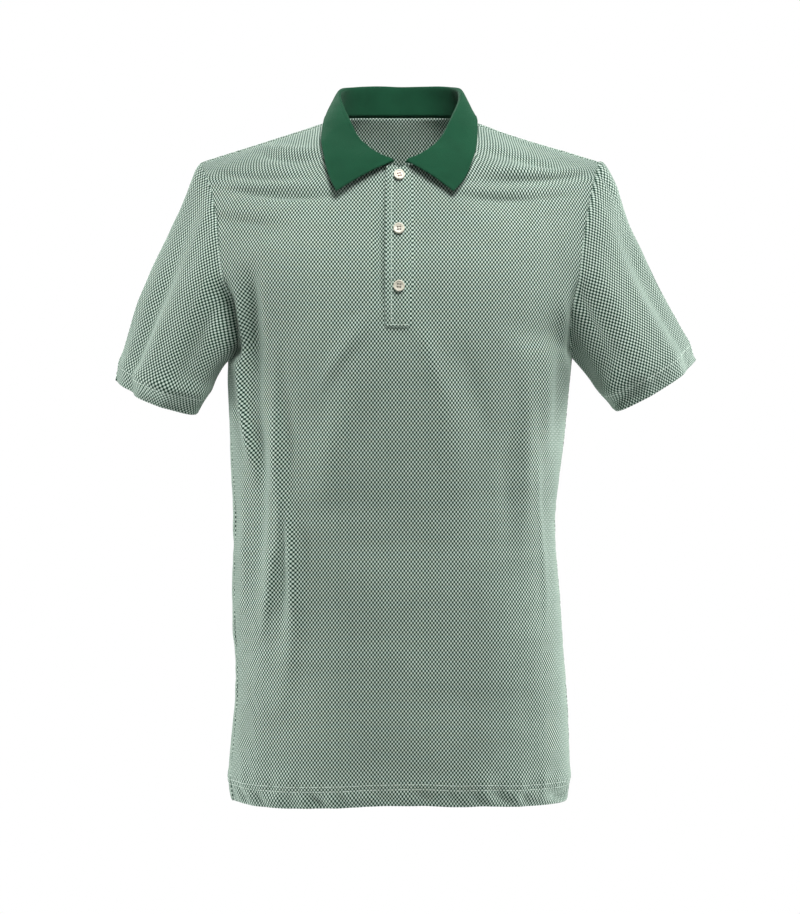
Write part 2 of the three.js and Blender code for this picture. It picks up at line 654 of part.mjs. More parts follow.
// A four-hole button with a raised rim, lying on the placket
function button(strips, height) {
  const r = BUTTON_RADIUS;
  const h = BUTTON_THICKNESS;
  const profile = [
    [0, 0],
    [r - 1, 0],
    [r, h * 0.45],
    [r - 0.35, h * 0.9],
    [r - 1, h],
    [r - 1.9, h * 0.86],
    [r - 2.4, h * 0.68],
    [0, h * 0.68],
  ].map(([x, y]) => new THREE.Vector2(x, y));
  const disc = solidFrom(new THREE.LatheGeometry(profile, 24));
  let body = disc;
  for (const x of [-1.15, 1.15])
    for (const z of [-1.15, 1.15]) {
      const hole = new THREE.CylinderGeometry(0.7, 0.7, 3 * h, 8).translate(x, h / 2, z);
      body = body.subtract(solidFrom(hole));
    }
  const geometry = geometryFrom(body);
  const rows = strips.grid;
  let nearest = 0;
  rows.forEach((row, j) => {
    if (Math.abs(row[1].z - height) < Math.abs(rows[nearest][1].z - height)) nearest = j;
  });
  const next = rows[nearest][1].z > height ? nearest - 1 : nearest + 1;
  const t = (height - rows[nearest][1].z) / (rows[next][1].z - rows[nearest][1].z);
  const place = rows[nearest][1].clone().lerp(rows[next][1], t);
  const normal = strips.normals[nearest][1].clone().lerp(strips.normals[next][1], t).normalize();
  const mesh = new THREE.Mesh(geometry);
  mesh.quaternion.setFromUnitVectors(new THREE.Vector3(0, 1, 0), normal);
  mesh.position.copy(place).addScaledVector(normal, CLOTH / 2 + 0.6);
  return mesh;
}

function solidFrom(geometry) {
  const flat = geometry.index ? geometry.toNonIndexed() : geometry;
  const source = flat.getAttribute("position");
  const seen = new Map();
  const vertices = [];
  const triangles = [];
  for (let i = 0; i < source.count; i++) {
    const p = [source.getX(i), source.getY(i), source.getZ(i)];
    const key = p.map((c) => Math.round(c * 1e4)).join();
    if (!seen.has(key)) {
      seen.set(key, seen.size);
      vertices.push(...p);
    }
    triangles.push(seen.get(key));
  }
  const whole = [];
  for (let i = 0; i < triangles.length; i += 3) {
    const [a, b, c] = triangles.slice(i, i + 3);
    if (a !== b && b !== c && a !== c) whole.push(a, b, c);
  }
  return new wasm.Manifold(
    new wasm.Mesh({
      numProp: 3,
      vertProperties: new Float32Array(vertices),
      triVerts: new Uint32Array(whole),
    }),
  );
}

function geometryFrom(solid) {
  const mesh = solid.getMesh();
  const geometry = new THREE.BufferGeometry();
  geometry.setAttribute("position", new THREE.BufferAttribute(mesh.vertProperties, 3));
  geometry.setIndex(new THREE.BufferAttribute(mesh.triVerts, 1));
  const loose = geometry.toNonIndexed();
  loose.computeVertexNormals();
  return loose;
}

const bodyMaterial = new THREE.MeshStandardMaterial({ color: 0x90a69a, roughness: 0.85 });
const collarMaterial = new THREE.MeshStandardMaterial({ color: 0x2a6b4a, roughness: 0.9 });
const buttonMaterial = new THREE.MeshStandardMaterial({ color: 0xece9dc, roughness: 0.3 });

const shirt = new THREE.Group();
function add(name, geometry, material) {
  const mesh = new THREE.Mesh(geometry, material);
  mesh.name = name;
  shirt.add(mesh);
  return mesh;
}

// The front's middle columns lie on the slit's edges, so that the slit can be left out whole
const slitShare = SLIT_HALF_WIDTH / front.lengths[1][armpitSection];
const frontShares = [0, slitShare];
for (let i = 1; i <= 6; i++) frontShares.push(slitShare + ((NECK_SHARE - slitShare) * i) / 6);
for (let i = 1; i <= 9; i++) frontShares.push(NECK_SHARE + ((1 - NECK_SHARE) * i) / 9);
const frontColumns = mirrorShares(frontShares);
const middleColumn = (frontColumns.length - 1) / 2;
const inSlit = (grid, j, i) =>
  (i === middleColumn || i === middleColumn - 1) && grid[j][middleColumn].z > SLIT_FOOT_Z;

const frontPanel = bodyPanel(front, frontColumns, (grid, j, i) => !inSlit(grid, j, i));
const backPanel = bodyPanel(back, panelShares(5, 8), () => true);
add("front", frontPanel.geometry, bodyMaterial);
add("back", backPanel.geometry, bodyMaterial);
add("sleeve_right", sleeve("left"), bodyMaterial);
add("sleeve_left", sleeve("right"), bodyMaterial);
add("collar", collar(), collarMaterial);

const placketTop = strip({
  xs: [-PLACKET_HALF_WIDTH - 0.5, BUTTON_X, PLACKET_HALF_WIDTH - 1.5],
  top: FRONT_NECK[0].z - 0.4,
  bottom: PLACKET_FOOT_Z,
  rows: 16,
  offset: CLOTH + 0.6,
  half: CLOTH / 2,
});
const placketUnder = strip({
  xs: [-PLACKET_HALF_WIDTH, 0, PLACKET_HALF_WIDTH],
  top: FRONT_NECK[0].z - 1,
  bottom: PLACKET_FOOT_Z + 2,
  rows: 16,
  offset: -CLOTH - 0.6,
  half: CLOTH / 2,
});
add("placket_top", placketTop.geometry, bodyMaterial);
add("placket_under", placketUnder.geometry, bodyMaterial);

BUTTON_HEIGHTS.forEach((height, i) => {
  const mesh = button(placketTop, height);
  mesh.name = `button_${i + 1}`;
  mesh.material = buttonMaterial;
  shirt.add(mesh);
});

export default shirt;
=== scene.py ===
"""A short-sleeved knitted polo shirt: its cloth, collar, placket, buttons and stitching."""

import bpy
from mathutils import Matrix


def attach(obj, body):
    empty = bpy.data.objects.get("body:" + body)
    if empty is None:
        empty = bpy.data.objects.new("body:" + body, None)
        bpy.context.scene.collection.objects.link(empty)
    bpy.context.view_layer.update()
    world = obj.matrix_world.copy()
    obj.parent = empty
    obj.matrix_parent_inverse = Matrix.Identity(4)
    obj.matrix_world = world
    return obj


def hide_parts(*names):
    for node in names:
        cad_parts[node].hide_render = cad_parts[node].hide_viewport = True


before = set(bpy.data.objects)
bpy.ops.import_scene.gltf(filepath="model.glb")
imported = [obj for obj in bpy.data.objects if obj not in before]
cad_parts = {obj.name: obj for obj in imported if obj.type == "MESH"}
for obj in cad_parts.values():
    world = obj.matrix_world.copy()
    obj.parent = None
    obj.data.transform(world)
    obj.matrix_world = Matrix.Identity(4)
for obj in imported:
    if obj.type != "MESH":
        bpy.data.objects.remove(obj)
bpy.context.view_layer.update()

import math

import bpy
import numpy as np
from mathutils import Matrix, Vector

bl_info = {
    "name": "Knitted Polo Shirt",
    "version": (1, 0, 0),
    "blender": (4, 5, 0),
    "location": "View3D > Sidebar > Polo Shirt",
    "description": "The cloth, collar, placket, buttons and stitching of a short-sleeved knitted polo shirt",
    "category": "Add Mesh",
}

# Sizes of the shirt in millimetres. The front faces -Y and the shirt's left sleeve is on +X.
SEAM_GAP = 0.7
VENT_TOP_Z = -712
VENT_GAP = 5
SEAM_ANGLE = {-1: math.radians(77), 1: math.radians(86)}
NECK_SHARE = 0.42
SLIT_HALF_WIDTH = 9
SLIT_FOOT_Z = -225
PLACKET_FOOT_Z = -234

# Closed sections from the hem up to the armpits: height, reach to each side, to the front and back, squareness
RINGS = [
    (-750, 190, 188, 110, 117, 2.3),
    (-730, 190, 188, 110, 117, 2.3),
    (-692, 187, 187, 110, 117, 2.3),
    (-620, 182, 183, 109, 113, 2.35),
    (-531, 186, 177, 106, 104, 2.4),
    (-442, 184, 171, 106, 98, 2.4),
    (-353, 188, 181, 112, 104, 2.45),
    (-262, 190, 190, 118, 112, 2.5),
]
ARMPIT = len(RINGS) - 1
# Open sections above them: depth and height at the middle, the two armhole edges, squareness
FRONT_ROWS = [
    (-119, -240, (-183, -56, -243), (190, -38, -243), 3.2),
    (-118.5, -208, (-187, -65, -210), (191, -60, -210), 2.9),
    (-115, -168, (-195, -63, -162), (196, -62, -162), 2.7),
    (-103, -126, (-200, -52, -116), (203, -52, -116), 2.6),
    (-91, -92, (-208, -34, -77), (211, -34, -77), 2.6),
]
BACK_ROWS = [
    (113.5, -243, (-193, 14, -250), (194, 34, -246), 4.2),
    (113.5, -210, (-199, 50, -214), (199, 57, -212), 3.3),
    (109, -165, (-203, 62, -163), (203, 61, -163), 2.7),
    (100, -110, (-207, 50, -114), (207, 50, -114), 2.6),
    (86, -58, (-213, 29, -76), (213, 29, -76), 2.6),
]
FRONT_NECK = [(0, -78.5, -60), (22, -75, -52), (42, -64, -36), (59, -43, -18), (70, -14, 0)]
BACK_NECK = [(0, 64, 13), (37, 58, 12), (63, 38, 9), (71, 11, 6), (70, -14, 0)]
SHOULDER = [(70, -14, 0), (100, -15, -10), (155, -16, -27.5), (219, -14, -47.5)]
# How the cloth arrives at the top edge: share of the half width, then out, back and up
FRONT_ARRIVAL = [(0, 0, 0.42, 0.9), (NECK_SHARE, 0, 0.84, 0.54), (1, 0, 0.86, 0.5)]
BACK_ARRIVAL = [
    (0, 0, 0.35, -0.94), (NECK_SHARE * 0.5, 0.25, 0.7, -0.6), (NECK_SHARE, 0.1, 0.88, 0.3), (1, 0, 0.88, 0.46),
]

# The main folds of each face: a bent line in the front view (x and z of three points), half width, height
FRONT_FOLDS = [
    (-164, -178, -160, -270, -152, -400, 11, -9),
    (-176, -275, -172, -340, -150, -410, 9, 5),
    (-142, -300, -138, -430, -150, -560, 11, 6),
    (-122, -400, -112, -520, -128, -640, 10, 5),
    (-128, -250, -130, -330, -128, -400, 14, -4),
    (-14, -225, -60, -330, -110, -470, 20, 4),
    (16, -230, 50, -340, 70, -460, 20, 3.5),
    (150, -230, 158, -330, 150, -480, 13, 5),
    (174, -235, 172, -300, 168, -380, 9, -5),
    (-190, -76, -130, -82, -72, -80, 8, -3.5),
    (-182, -88, -130, -101, -60, -96, 8, -4.5),
    (-184, -128, -160, -133, -120, -132, 8, -3.5),
    (-120, -54, -100, -56, -78, -60, 7, -3),
    (76, -78, 140, -80, 198, -68, 8, -3.5),
    (64, -94, 130, -100, 190, -90, 8, -4),
    (84, -52, 140, -64, 190, -60, 8, 2.5),
]
BACK_FOLDS = [
    (-176, -190, -160, -300, -140, -440, 14, -6),
    (178, -190, 160, -300, 138, -420, 14, -6),
    (-150, -330, -110, -450, -70, -540, 18, 5),
    (150, -320, 116, -440, 76, -560, 18, 5),
    (-196, -92, -130, -96, -60, -84, 10, -3.5),
    (196, -92, 130, -98, 56, -86, 10, -3.5),
    (95, -6, 140, -18, 185, -32, 12, -4),
    (-70, -430, 0, -446, 80, -428, 14, -4),
]
# Finer creases, in the same way
FRONT_CREASES = [
    (-158, -38, -118, -48, -78, -47, 4.4, -4.4),
    (-160, -28, -119, -36, -86, -38, 3.6, 2.6),
    (-206, -58, -150, -68, -81, -68, 4.6, -4),
    (-198, -74, -139, -79, -76, -79, 3.6, 2.4),
    (-196, -78, -122, -91, -52, -87, 5.2, -5.4),
    (-196, -92, -132, -102, -76, -100, 5.5, 2.6),
    (-210, -110, -166, -119, -122, -124, 7.5, -3.6),
    (-202, -100, -158, -108, -116, -112, 7, 1.8),
    (75, -56, 140, -61, 208, -54, 4, 2.8),
    (66, -72, 139, -72, 214, -60, 4.6, -4.3),
    (52, -88, 123, -94, 200, -82, 5.2, -4.8),
    (60, -80, 130, -83, 200, -72, 3.6, 2.2),
    (86, -38, 129, -47, 180, -60, 4.4, -3.8),
    (96, -108, 150, -112, 196, -98, 7, -2),
    (-159, -166, -161, -222, -155, -300, 8.5, -9.5),
    (-177, -205, -177, -250, -173, -300, 5.5, 4.5),
    (-186, -268, -180, -325, -168, -384, 4.5, -4.8),
    (-175, -281, -169, -332, -157, -384, 4, 5.5),
    (-132, -250, -134, -340, -133, -402, 5.5, 4.5),
    (-134, -392, -130, -439, -136, -488, 5, 4.8),
    (-124, -412, -118, -471, -116, -550, 4.2, 4),
    (-136, -470, -141, -515, -149, -566, 5, 4),
    (-153, -330, -149, -418, -157, -535, 7, -4.2),
    (-174, -388, -170, -470, -174, -566, 6, 3.2),
    (-120, -300, -119, -365, -117, -439, 6, -3.2),
    (-126, -455, -125, -514, -130, -567, 4.5, -1.8),
    (-106, -418, -103, -482, -107, -546, 7, -3),
    (-29, -222, -69, -274, -110, -360, 9, 4),
    (-52, -262, -88, -310, -116, -372, 8, -2.6),
    (18, -222, 31, -262, 50, -318, 8, 3.4),
    (60, -250, 78, -300, 92, -360, 10, -2.4),
    (136, -262, 137, -350, 134, -470, 9, 3.4),
    (147, -350, 155, -460, 159, -570, 3.4, 1.8),
    (157, -290, 160, -390, 155, -500, 11, -5.4),
    (116, -343, 114, -407, 118, -482, 9, -1.6),
    (-21, -96, -22, -160, -21, -226, 5.5, -4.8),
    (189, -201, 191, -230, 197, -259, 7, -2.4),
    (174, -192, 175, -235, 172, -289, 6, 3.4),
    (-172, -694, -169, -725, -165, -746, 4, 1.8),
    (-107, -708, -110, -727, -107, -742, 6, -1.4),
    (-90, -712, -87, -729, -89, -744, 5, 1.2),
    (0, -710, 2, -727, 0, -744, 7, -1.2),
    (85, -712, 90, -729, 87, -744, 6, 1.4),
    (103, -710, 107, -727, 105, -744, 6, -1.3),
    (128, -708, 130, -727, 127, -743, 6, 1.3),
    (156, -704, 155, -725, 157, -742, 6, 1.4),
    (-141, -706, -139, -727, -141, -742, 6, -1.3),
]
BACK_CREASES = [
    (-198, -108, -150, -122, -100, -118, 7, -3.4),
    (198, -104, 152, -120, 96, -114, 7, -3.6),
    (-190, -80, -140, -90, -84, -84, 6, 2.4),
    (188, -78, 136, -90, 80, -86, 6, 2.6),
    (-170, -185, -168, -240, -156, -300, 8.5, -5.5),
    (172, -180, 168, -236, 158, -306, 8.5, -6),
    (-181, -205, -180, -256, -173, -310, 5.5, 3.4),
    (182, -200, 180, -250, 174, -306, 5.5, 3.6),
    (-160, -250, -150, -310, -138, -380, 6, 3.2),
    (162, -240, 152, -310, 140, -390, 6, 3.4),
    (-142, -384, -137, -440, -145, -500, 5, 4),
    (-120, -400, -115, -470, -119, -545, 5.5, 3.2),
    (-130, -310, -128, -380, -128, -450, 6, -3),
    (144, -390, 140, -450, 147, -515, 5, 4),
    (124, -410, 119, -470, 122, -550, 5.5, 3.2),
    (133, -316, 130, -380, 130, -456, 6, -3),
    (-62, -408, 0, -424, 70, -410, 11, 2.4),
    (-84, -436, -10, -452, 56, -442, 11, -2),
    (-44, -470, 10, -482, 66, -470, 8, 2.4),
    (-30, -120, 4, -180, 40, -240, 10, 2.6),
    (-66, -160, -44, -220, -10, -280, 10, -2.6),
    (60, -150, 72, -210, 90, -280, 11, -2.4),
    (-130, -560, -124, -640, -132, -704, 7, 3),
    (118, -580, 126, -650, 120, -712, 7, 3),
    (20, -640, 18, -690, 22, -736, 8, 2),
    (-60, -650, -56, -700, -64, -738, 7, -2),
    (78, -660, 74, -700, 80, -738, 7, -2),
]

# A sleeve's cuff as an oval: (x, z) of its outer and inner ends in the front view, half depth, droop, bend
CUFFS = {
    -1: ((-313, -288), (-221, -320), 57, 13, 0.27),
    1: ((325, -267), (236, -319), 57, 9, 0.16),
}
CREASE_OUT = 5  # how far a sleeve's pressed edge stands out
# The dip in front of a sleeve's pressed edge: degrees from the edge, half width, depth
EDGE_DIPS = {-1: (36, 13, 9), 1: (27, 12, 3.5)}
# Folds down a sleeve: side, degrees round from the top, half width in degrees, from and to, height
SLEEVE_FOLDS = [
    (-1, 118, 15, 0.02, 0.75, -7), (-1, 88, 14, 0.1, 0.9, 4), (-1, 240, 18, 0.05, 0.8, -6),
    (1, 116, 15, 0.02, 0.7, -6), (1, 84, 16, 0.15, 0.95, 4), (1, 242, 18, 0.05, 0.8, -6),
]
SLEEVE_CREASES = [
    (-1, 62, 9, 0.3, 1.1, 1.6), (-1, 310, 8, 0.1, 0.8, 1.8), (-1, 100, 9, 0.5, 1.1, 1.8),
    (-1, 143, 20, 0.3, 1.8, 6), (-1, 0, 55, 0.1, 0.65, -4), (-1, 84, 34, 0.7, 0.94, 4),
    (-1, 88, 7, 0.05, 0.7, -1.6), (-1, 112, 7, 0.1, 0.6, 1.6), (1, 143, 20, 0.3, 1.8, 6),
    (1, 50, 9, 0.3, 1.1, 1.4), (1, 144, 8, 0.05, 0.6, 2.2), (1, 98, 9, 0.5, 1.1, 1.8),
    (1, 306, 8, 0.1, 0.8, 1.8), (1, 0, 55, -0.06, 0.4, 4.5), (1, 0, 55, 0.25, 0.85, -4),
    (1, 117, 18, 0.0, 0.85, 4.4), (1, 122, 28, 0.6, 0.86, 3.4), (1, 126, 30, 0.8, 0.98, -3),
]

# The cleft in front of each armpit: side, the x and z of its line from below, and its depth
CLEFTS = [
    (-1, (-179, -180, -185, -192), (-262, -243, -210, -172), 17.0),
    (1, (186, 187, 189, 196), (-262, -243, -210, -172), 7.0),
]

# The collar from its front end to the middle of the back: share of the neckline, the fold, the fall's edge
COLLAR = [
    (0.1, (8, -82.5, -51.5), (68, 57.5), (-94.5, -87)),
    (0.3, (26, -76, -43), (76, 70), (-84.5, -71)),
    (0.55, (45, -58, -25), (82, 79), (-70, -49)),
    (0.8, (59, -32, 3), (86, 84.5), (-47, -25)),
    (1.0, (67, -5, 24), (84, 84), (-15, 0.5)),
    (1.25, (67.5, 20, 38), (79.5, 79.5), (18, 8)),
    (1.5, (57.5, 43, 44), (71, 71), (49, 5)),
    (1.75, (34, 60, 47), (45, 45), (73, 3)),
    (2.0, (0, 66, 48), (0, 0), (81, 2)),
]
COLLAR_LIFT = 2.2
FOLD_HALF_GAP = 2.2

BUTTON_X = -1
BUTTON_HEIGHTS = [-68, -128, -190]
HOLE_OUT = 0.25  # a button's holes lie this share of its radius out, each way

# The upper strip's free and joined edges, and its stitches: from the middle, and up from the foot
STRIP_EDGES = (-15.5, 13.5)
STRIP_STITCHES_X = -8.8
STRIP_STITCHES_UP = 3.0
SHOULDER_STITCHES = 3.0  # from the shoulder seam
HEM_LINES_APART = 5.5  # the two lines of stitches round the hem
GROOVE = 0.42  # how deep the stitches lie in the cloth
HEM_STEPS = (0.25, 0.9)  # how far a turned hem stands out and in
LIP = 1.9  # a sewn edge turns in over this distance

# The camera's place in metres, and its focal length and the height of its view in one unit
CAMERA_PLACE = (0, -2.8, -0.372)
FOCAL_LENGTH, VIEW_HEIGHT = 2520, 914


# Lines and surfaces

def smooth(t):
    c = np.clip(t, 0, 1)
    return c * c * (3 - 2 * c)


def fades(distance, reach):
    """1 at no distance, falling softly to 0 at a reach."""
    return 1 - smooth(distance / reach)


def near(distance, width):
    """1 at no distance, falling away on both sides within about a width."""
    return np.exp(-((distance / width) ** 2))


def bent_line(points, count=600):
    """A smooth line through points, as count close points."""
    p = np.array(points, float)
    ends = np.vstack([2 * p[0] - p[1], p, 2 * p[-1] - p[-2]])
    t = np.linspace(0, len(p) - 1, count)
    i = np.minimum(t.astype(int), len(p) - 2)
    f = (t - i)[:, None]
    a, b, c, d = ends[i], ends[i + 1], ends[i + 2], ends[i + 3]
    return 0.5 * (2 * b + (c - a) * f + (2 * a - 5 * b + 4 * c - d) * f**2 + (3 * b - 3 * c + d - a) * f**3)


def far_along(line):
    return np.concatenate([[0], np.cumsum(np.linalg.norm(np.diff(line, axis=0), axis=1))])


def read_line(line, shares):
    """Points of a line at shares of its length."""
    far = far_along(line)
    at = np.asarray(shares) * far[-1]
    return np.stack([np.interp(at, far, line[:, k]) for k in range(line.shape[1])], axis=-1)


def read_table(rows, at, column):
    return np.interp(at, [r[0] for r in rows], [r[column] for r in rows])


def ring_line(ring, side, face):
    """Half of a closed section, from the middle of a face out to the side seam."""
    z, left, right, front, back, square = ring
    a = np.linspace(0 if face < 0 else side * math.pi, side * SEAM_ANGLE[side], 3000)
    x, y = np.sin(a), np.cos(a)
    power = 2 / square
    line = np.stack([
        np.where(x < 0, left, right) * np.sign(x) * np.abs(x) ** power,
        -np.where(y < 0, back, front) * np.sign(y) * np.abs(y) ** power,
        np.full_like(x, z),
    ], axis=-1)
    vent = smooth((VENT_TOP_Z - z) / (VENT_TOP_Z - RINGS[0][0]))
    share = 1 - (SEAM_GAP / 2 + VENT_GAP / 2 * vent) / far_along(line)[-1]
    return read_line(line, np.linspace(0, share, 600))


def row_line(row, side):
    """Half of an open section, from the middle out to the armhole."""
    y0, z0, left, right, square = row
    x, y, z = left if side < 0 else right
    t = np.linspace(0, 1, 600)
    return np.stack([x * t, y0 + (y - y0) * t**square, z0 + (z - z0) * t * t], axis=-1)


class Panel:
    """The front (face -1) or the back (face 1), read by height in sections and by share of the half width."""

    def __init__(self, face):
        self.face = face
        rows = FRONT_ROWS if face < 0 else BACK_ROWS
        self.lines = {
            side: [ring_line(r, side, face) for r in RINGS] + [row_line(r, side) for r in rows]
            for side in (-1, 1)
        }
        self.neck = bent_line(FRONT_NECK if face < 0 else BACK_NECK)
        self.shoulder = bent_line(SHOULDER)
        self.count = len(RINGS) + len(rows) + 1
        self.lengths = {side: [far_along(line)[-1] for line in self.lines[side]] for side in (-1, 1)}
        self.top_length = far_along(self.neck)[-1] + far_along(self.shoulder)[-1]

    def knots(self, shares):
        """shares: for each section, the signed shares of the columns."""
        out = np.zeros((self.count, shares.shape[1], 3))
        for i in range(self.count):
            for side in (-1, 1):
                mine = (shares[i] < 0) == (side < 0)
                s = np.minimum(np.abs(shares[i][mine]), 1)
                if i < self.count - 1:
                    out[i][mine] = read_line(self.lines[side][i], s)
                    continue
                neck = read_line(self.neck, np.minimum(s / NECK_SHARE, 1))
                seam = read_line(self.shoulder, np.maximum((s - NECK_SHARE) / (1 - NECK_SHARE), 0))
                p = np.where((s <= NECK_SHARE)[:, None], neck, seam)
                p[:, 0] *= side
                p[s >= NECK_SHARE, 1] += self.face * SEAM_GAP / 2
                out[i][mine] = p
        return out

    def climb(self, shares, heights):
        """Points up the panel: one row for each height, counted in sections, and one column for each share."""
        knots = self.knots(shares)
        ahead = knots[1:] - knots[:-1]
        long = np.linalg.norm(ahead, axis=2, keepdims=True)
        leave, arrive = np.zeros_like(knots), np.zeros_like(knots)
        a, b = long[1:], long[:-1]
        through = (ahead[1:] * b / a + ahead[:-1] * a / b) / (a + b)
        leave[1:-1], arrive[1:-1] = through, through
        leave[0] = ahead[0] / long[0]
        corner = (np.abs(shares[ARMPIT]) ** 4)[:, None]
        leave[ARMPIT] += (ahead[ARMPIT] / long[ARMPIT] - leave[ARMPIT]) * corner
        arrive[ARMPIT] += (ahead[ARMPIT - 1] / long[ARMPIT - 1] - arrive[ARMPIT]) * corner
        s = shares[-1]
        table = FRONT_ARRIVAL if self.face < 0 else BACK_ARRIVAL
        last = np.stack([read_table(table, np.abs(s), k) for k in (1, 2, 3)], axis=-1)
        last[:, 0] *= np.where(s < 0, -1, 1)
        arrive[-1] = last / np.linalg.norm(last, axis=1, keepdims=True) * -self.face
        i = np.minimum(np.floor(heights).astype(int), self.count - 2)
        t = (heights - i)[:, None, None]
        return (
            knots[i] * (2 * t**3 - 3 * t**2 + 1)
            + leave[i] * long[i] * (t**3 - 2 * t**2 + t)
            + knots[i + 1] * (3 * t**2 - 2 * t**3)
            + arrive[i + 1] * long[i] * (t**3 - t**2)
        )


def crease_heights(points, rows, face=0):
    """How far the folds of a table lift the cloth at points."""
    x, z = points[..., 0], points[..., 2]
    total = np.zeros_like(x)
    for x0, z0, x1, z1, x2, z2, wide, high in rows:
        reach = 3 * wide
        near_box = (
            (x > min(x0, x1, x2) - reach) & (x < max(x0, x1, x2) + reach)
            & (z > min(z0, z1, z2) - reach) & (z < max(z0, z1, z2) + reach)
        )
        px, pz = x[near_box], z[near_box]
        t = np.linspace(0, 1, 15)
        bx, bz = 2 * x1 - (x0 + x2) / 2, 2 * z1 - (z0 + z2) / 2
        lx = x0 * (1 - t) ** 2 + 2 * bx * t * (1 - t) + x2 * t * t
        lz = z0 * (1 - t) ** 2 + 2 * bz * t * (1 - t) + z2 * t * t
        best, along = np.full(px.shape, 1e9), np.zeros(px.shape)
        for k in range(14):
            wx, wz = lx[k + 1] - lx[k], lz[k + 1] - lz[k]
            s = np.clip(((px - lx[k]) * wx + (pz - lz[k]) * wz) / (wx * wx + wz * wz), 0, 1)
            far = np.hypot(px - lx[k] - s * wx, pz - lz[k] - s * wz)
            closer = far < best
            best = np.where(closer, far, best)
            along = np.where(closer, (k + s) / 14, along)
        swell = np.sin(math.pi * np.clip(along, 0.04, 0.96)) ** 0.75
        total[near_box] += high * swell * near(best, wide)
    if face:
        total *= smooth((points[..., 1] * face + 30) / 60)
    return total


def pushed_in(points):
    """Points with the cloth about the front of each armpit pushed in along a cleft."""
    x, y, z = points[..., 0], points[..., 1], points[..., 2]
    moved = points.copy()
    for side, xs, zs, deep in CLEFTS:
        line = np.interp(z, zs, xs)
        past = (x - line) * side
        wide = np.where(past > 0, 15.0, 5.0)
        along = smooth((zs[-1] - z) / 34) * smooth((z - zs[0] + 14) / 26)
        share = deep * along * near(past, wide) * smooth((-y - 12) / 26)
        moved[..., 0] -= side * 0.4 * share
        moved[..., 1] += 0.92 * share
    return moved


def drift(u, v, wide, long, seed):
    """A soft uneven height between about -1 and 1, with lumps of the given width and length."""
    lattice = np.random.default_rng(seed).uniform(-1, 1, (48, 48))
    x, y = u / wide + 480, v / long + 480
    i, j = np.floor(x).astype(int), np.floor(y).astype(int)

    def weights(f):
        second = (3 * f**3 - 6 * f**2 + 4) / 6
        third = (-3 * f**3 + 3 * f**2 + 3 * f + 1) / 6
        return [(1 - f) ** 3 / 6, second, third, f**3 / 6]

    wx, wy = weights(x - i), weights(y - j)
    total = 0
    for a in range(4):
        for b in range(4):
            total = total + wx[a] * wy[b] * lattice[(i + a) % 48, (j + b) % 48]
    return 2.2 * total


def grid_normals(grid, outward):
    across = np.empty_like(grid)
    across[:, 1:-1] = grid[:, 2:] - grid[:, :-2]
    across[:, 0], across[:, -1] = grid[:, 1] - grid[:, 0], grid[:, -1] - grid[:, -2]
    up = np.empty_like(grid)
    up[1:-1] = grid[2:] - grid[:-2]
    up[0], up[-1] = grid[1] - grid[0], grid[-1] - grid[-2]
    n = np.cross(across, up) * outward
    return n / np.maximum(np.linalg.norm(n, axis=2, keepdims=True), 1e-9)


def flat_cloth(grid, middle):
    """Each point's place on the flat cloth: across from the middle column, and up from the first row."""
    across = np.diff(grid, axis=1)
    step = np.linalg.norm(across, axis=2)
    u = np.concatenate([np.zeros((len(grid), 1)), np.cumsum(step, axis=1)], axis=1)
    u -= u[:, middle:middle + 1]
    along = np.empty_like(grid)
    along[:, 1:-1] = grid[:, 2:] - grid[:, :-2]
    along[:, 0], along[:, -1] = across[:, 0], across[:, -1]
    along /= np.linalg.norm(along, axis=2, keepdims=True)
    rise = np.diff(grid, axis=0)
    half = (along[1:] + along[:-1]) / 2
    rise = rise - half * np.sum(rise * half, axis=2, keepdims=True)
    v = np.concatenate([np.zeros((1, grid.shape[1])), np.cumsum(np.linalg.norm(rise, axis=2), axis=0)])
    return np.stack([u, v], axis=-1)


def sample(field, r, c):
    """A grid read between its rows and columns."""
    i = np.clip(np.floor(r).astype(int), 0, field.shape[0] - 2)
    j = np.clip(np.floor(c).astype(int), 0, field.shape[1] - 2)
    fr, fc = (r - i)[..., None], (c - j)[..., None]
    return (
        field[i, j] * (1 - fr) * (1 - fc) + field[i + 1, j] * fr * (1 - fc)
        + field[i, j + 1] * (1 - fr) * fc + field[i + 1, j + 1] * fr * fc
    )


# Meshes

def deselect_all():
    if bpy.context.object and bpy.context.object.mode != "OBJECT":
        bpy.ops.object.mode_set(mode="OBJECT")
    bpy.ops.object.select_all(action="DESELECT")


def mesh_object(name, vertices, faces, flat=None, material=None):
    """A smooth-shaded mesh from millimetres. flat: each vertex's place on the flat cloth."""
    used = np.unique(np.concatenate([np.ravel(f) for f in faces]))
    renamed = np.full(len(vertices), -1)
    renamed[used] = np.arange(len(used))
    mesh = bpy.data.meshes.new(name)
    rows = [row for group in faces for row in renamed[group].tolist()]
    mesh.from_pydata((vertices[used] / 1000).tolist(), [], rows)
    if flat is not None:
        corners = np.empty(len(mesh.loops), np.int32)
        mesh.loops.foreach_get("vertex_index", corners)
        layer = mesh.uv_layers.new(name="cloth")
        layer.data.foreach_set("uv", (flat[used][corners] / 1000).astype(np.float32).ravel())
    mesh.polygons.foreach_set("use_smooth", np.ones(len(mesh.polygons), bool))
    mesh.update()
    made = bpy.data.objects.new(name, mesh)
    bpy.context.scene.collection.objects.link(made)
    if material:
        mesh.materials.append(material)
    return made


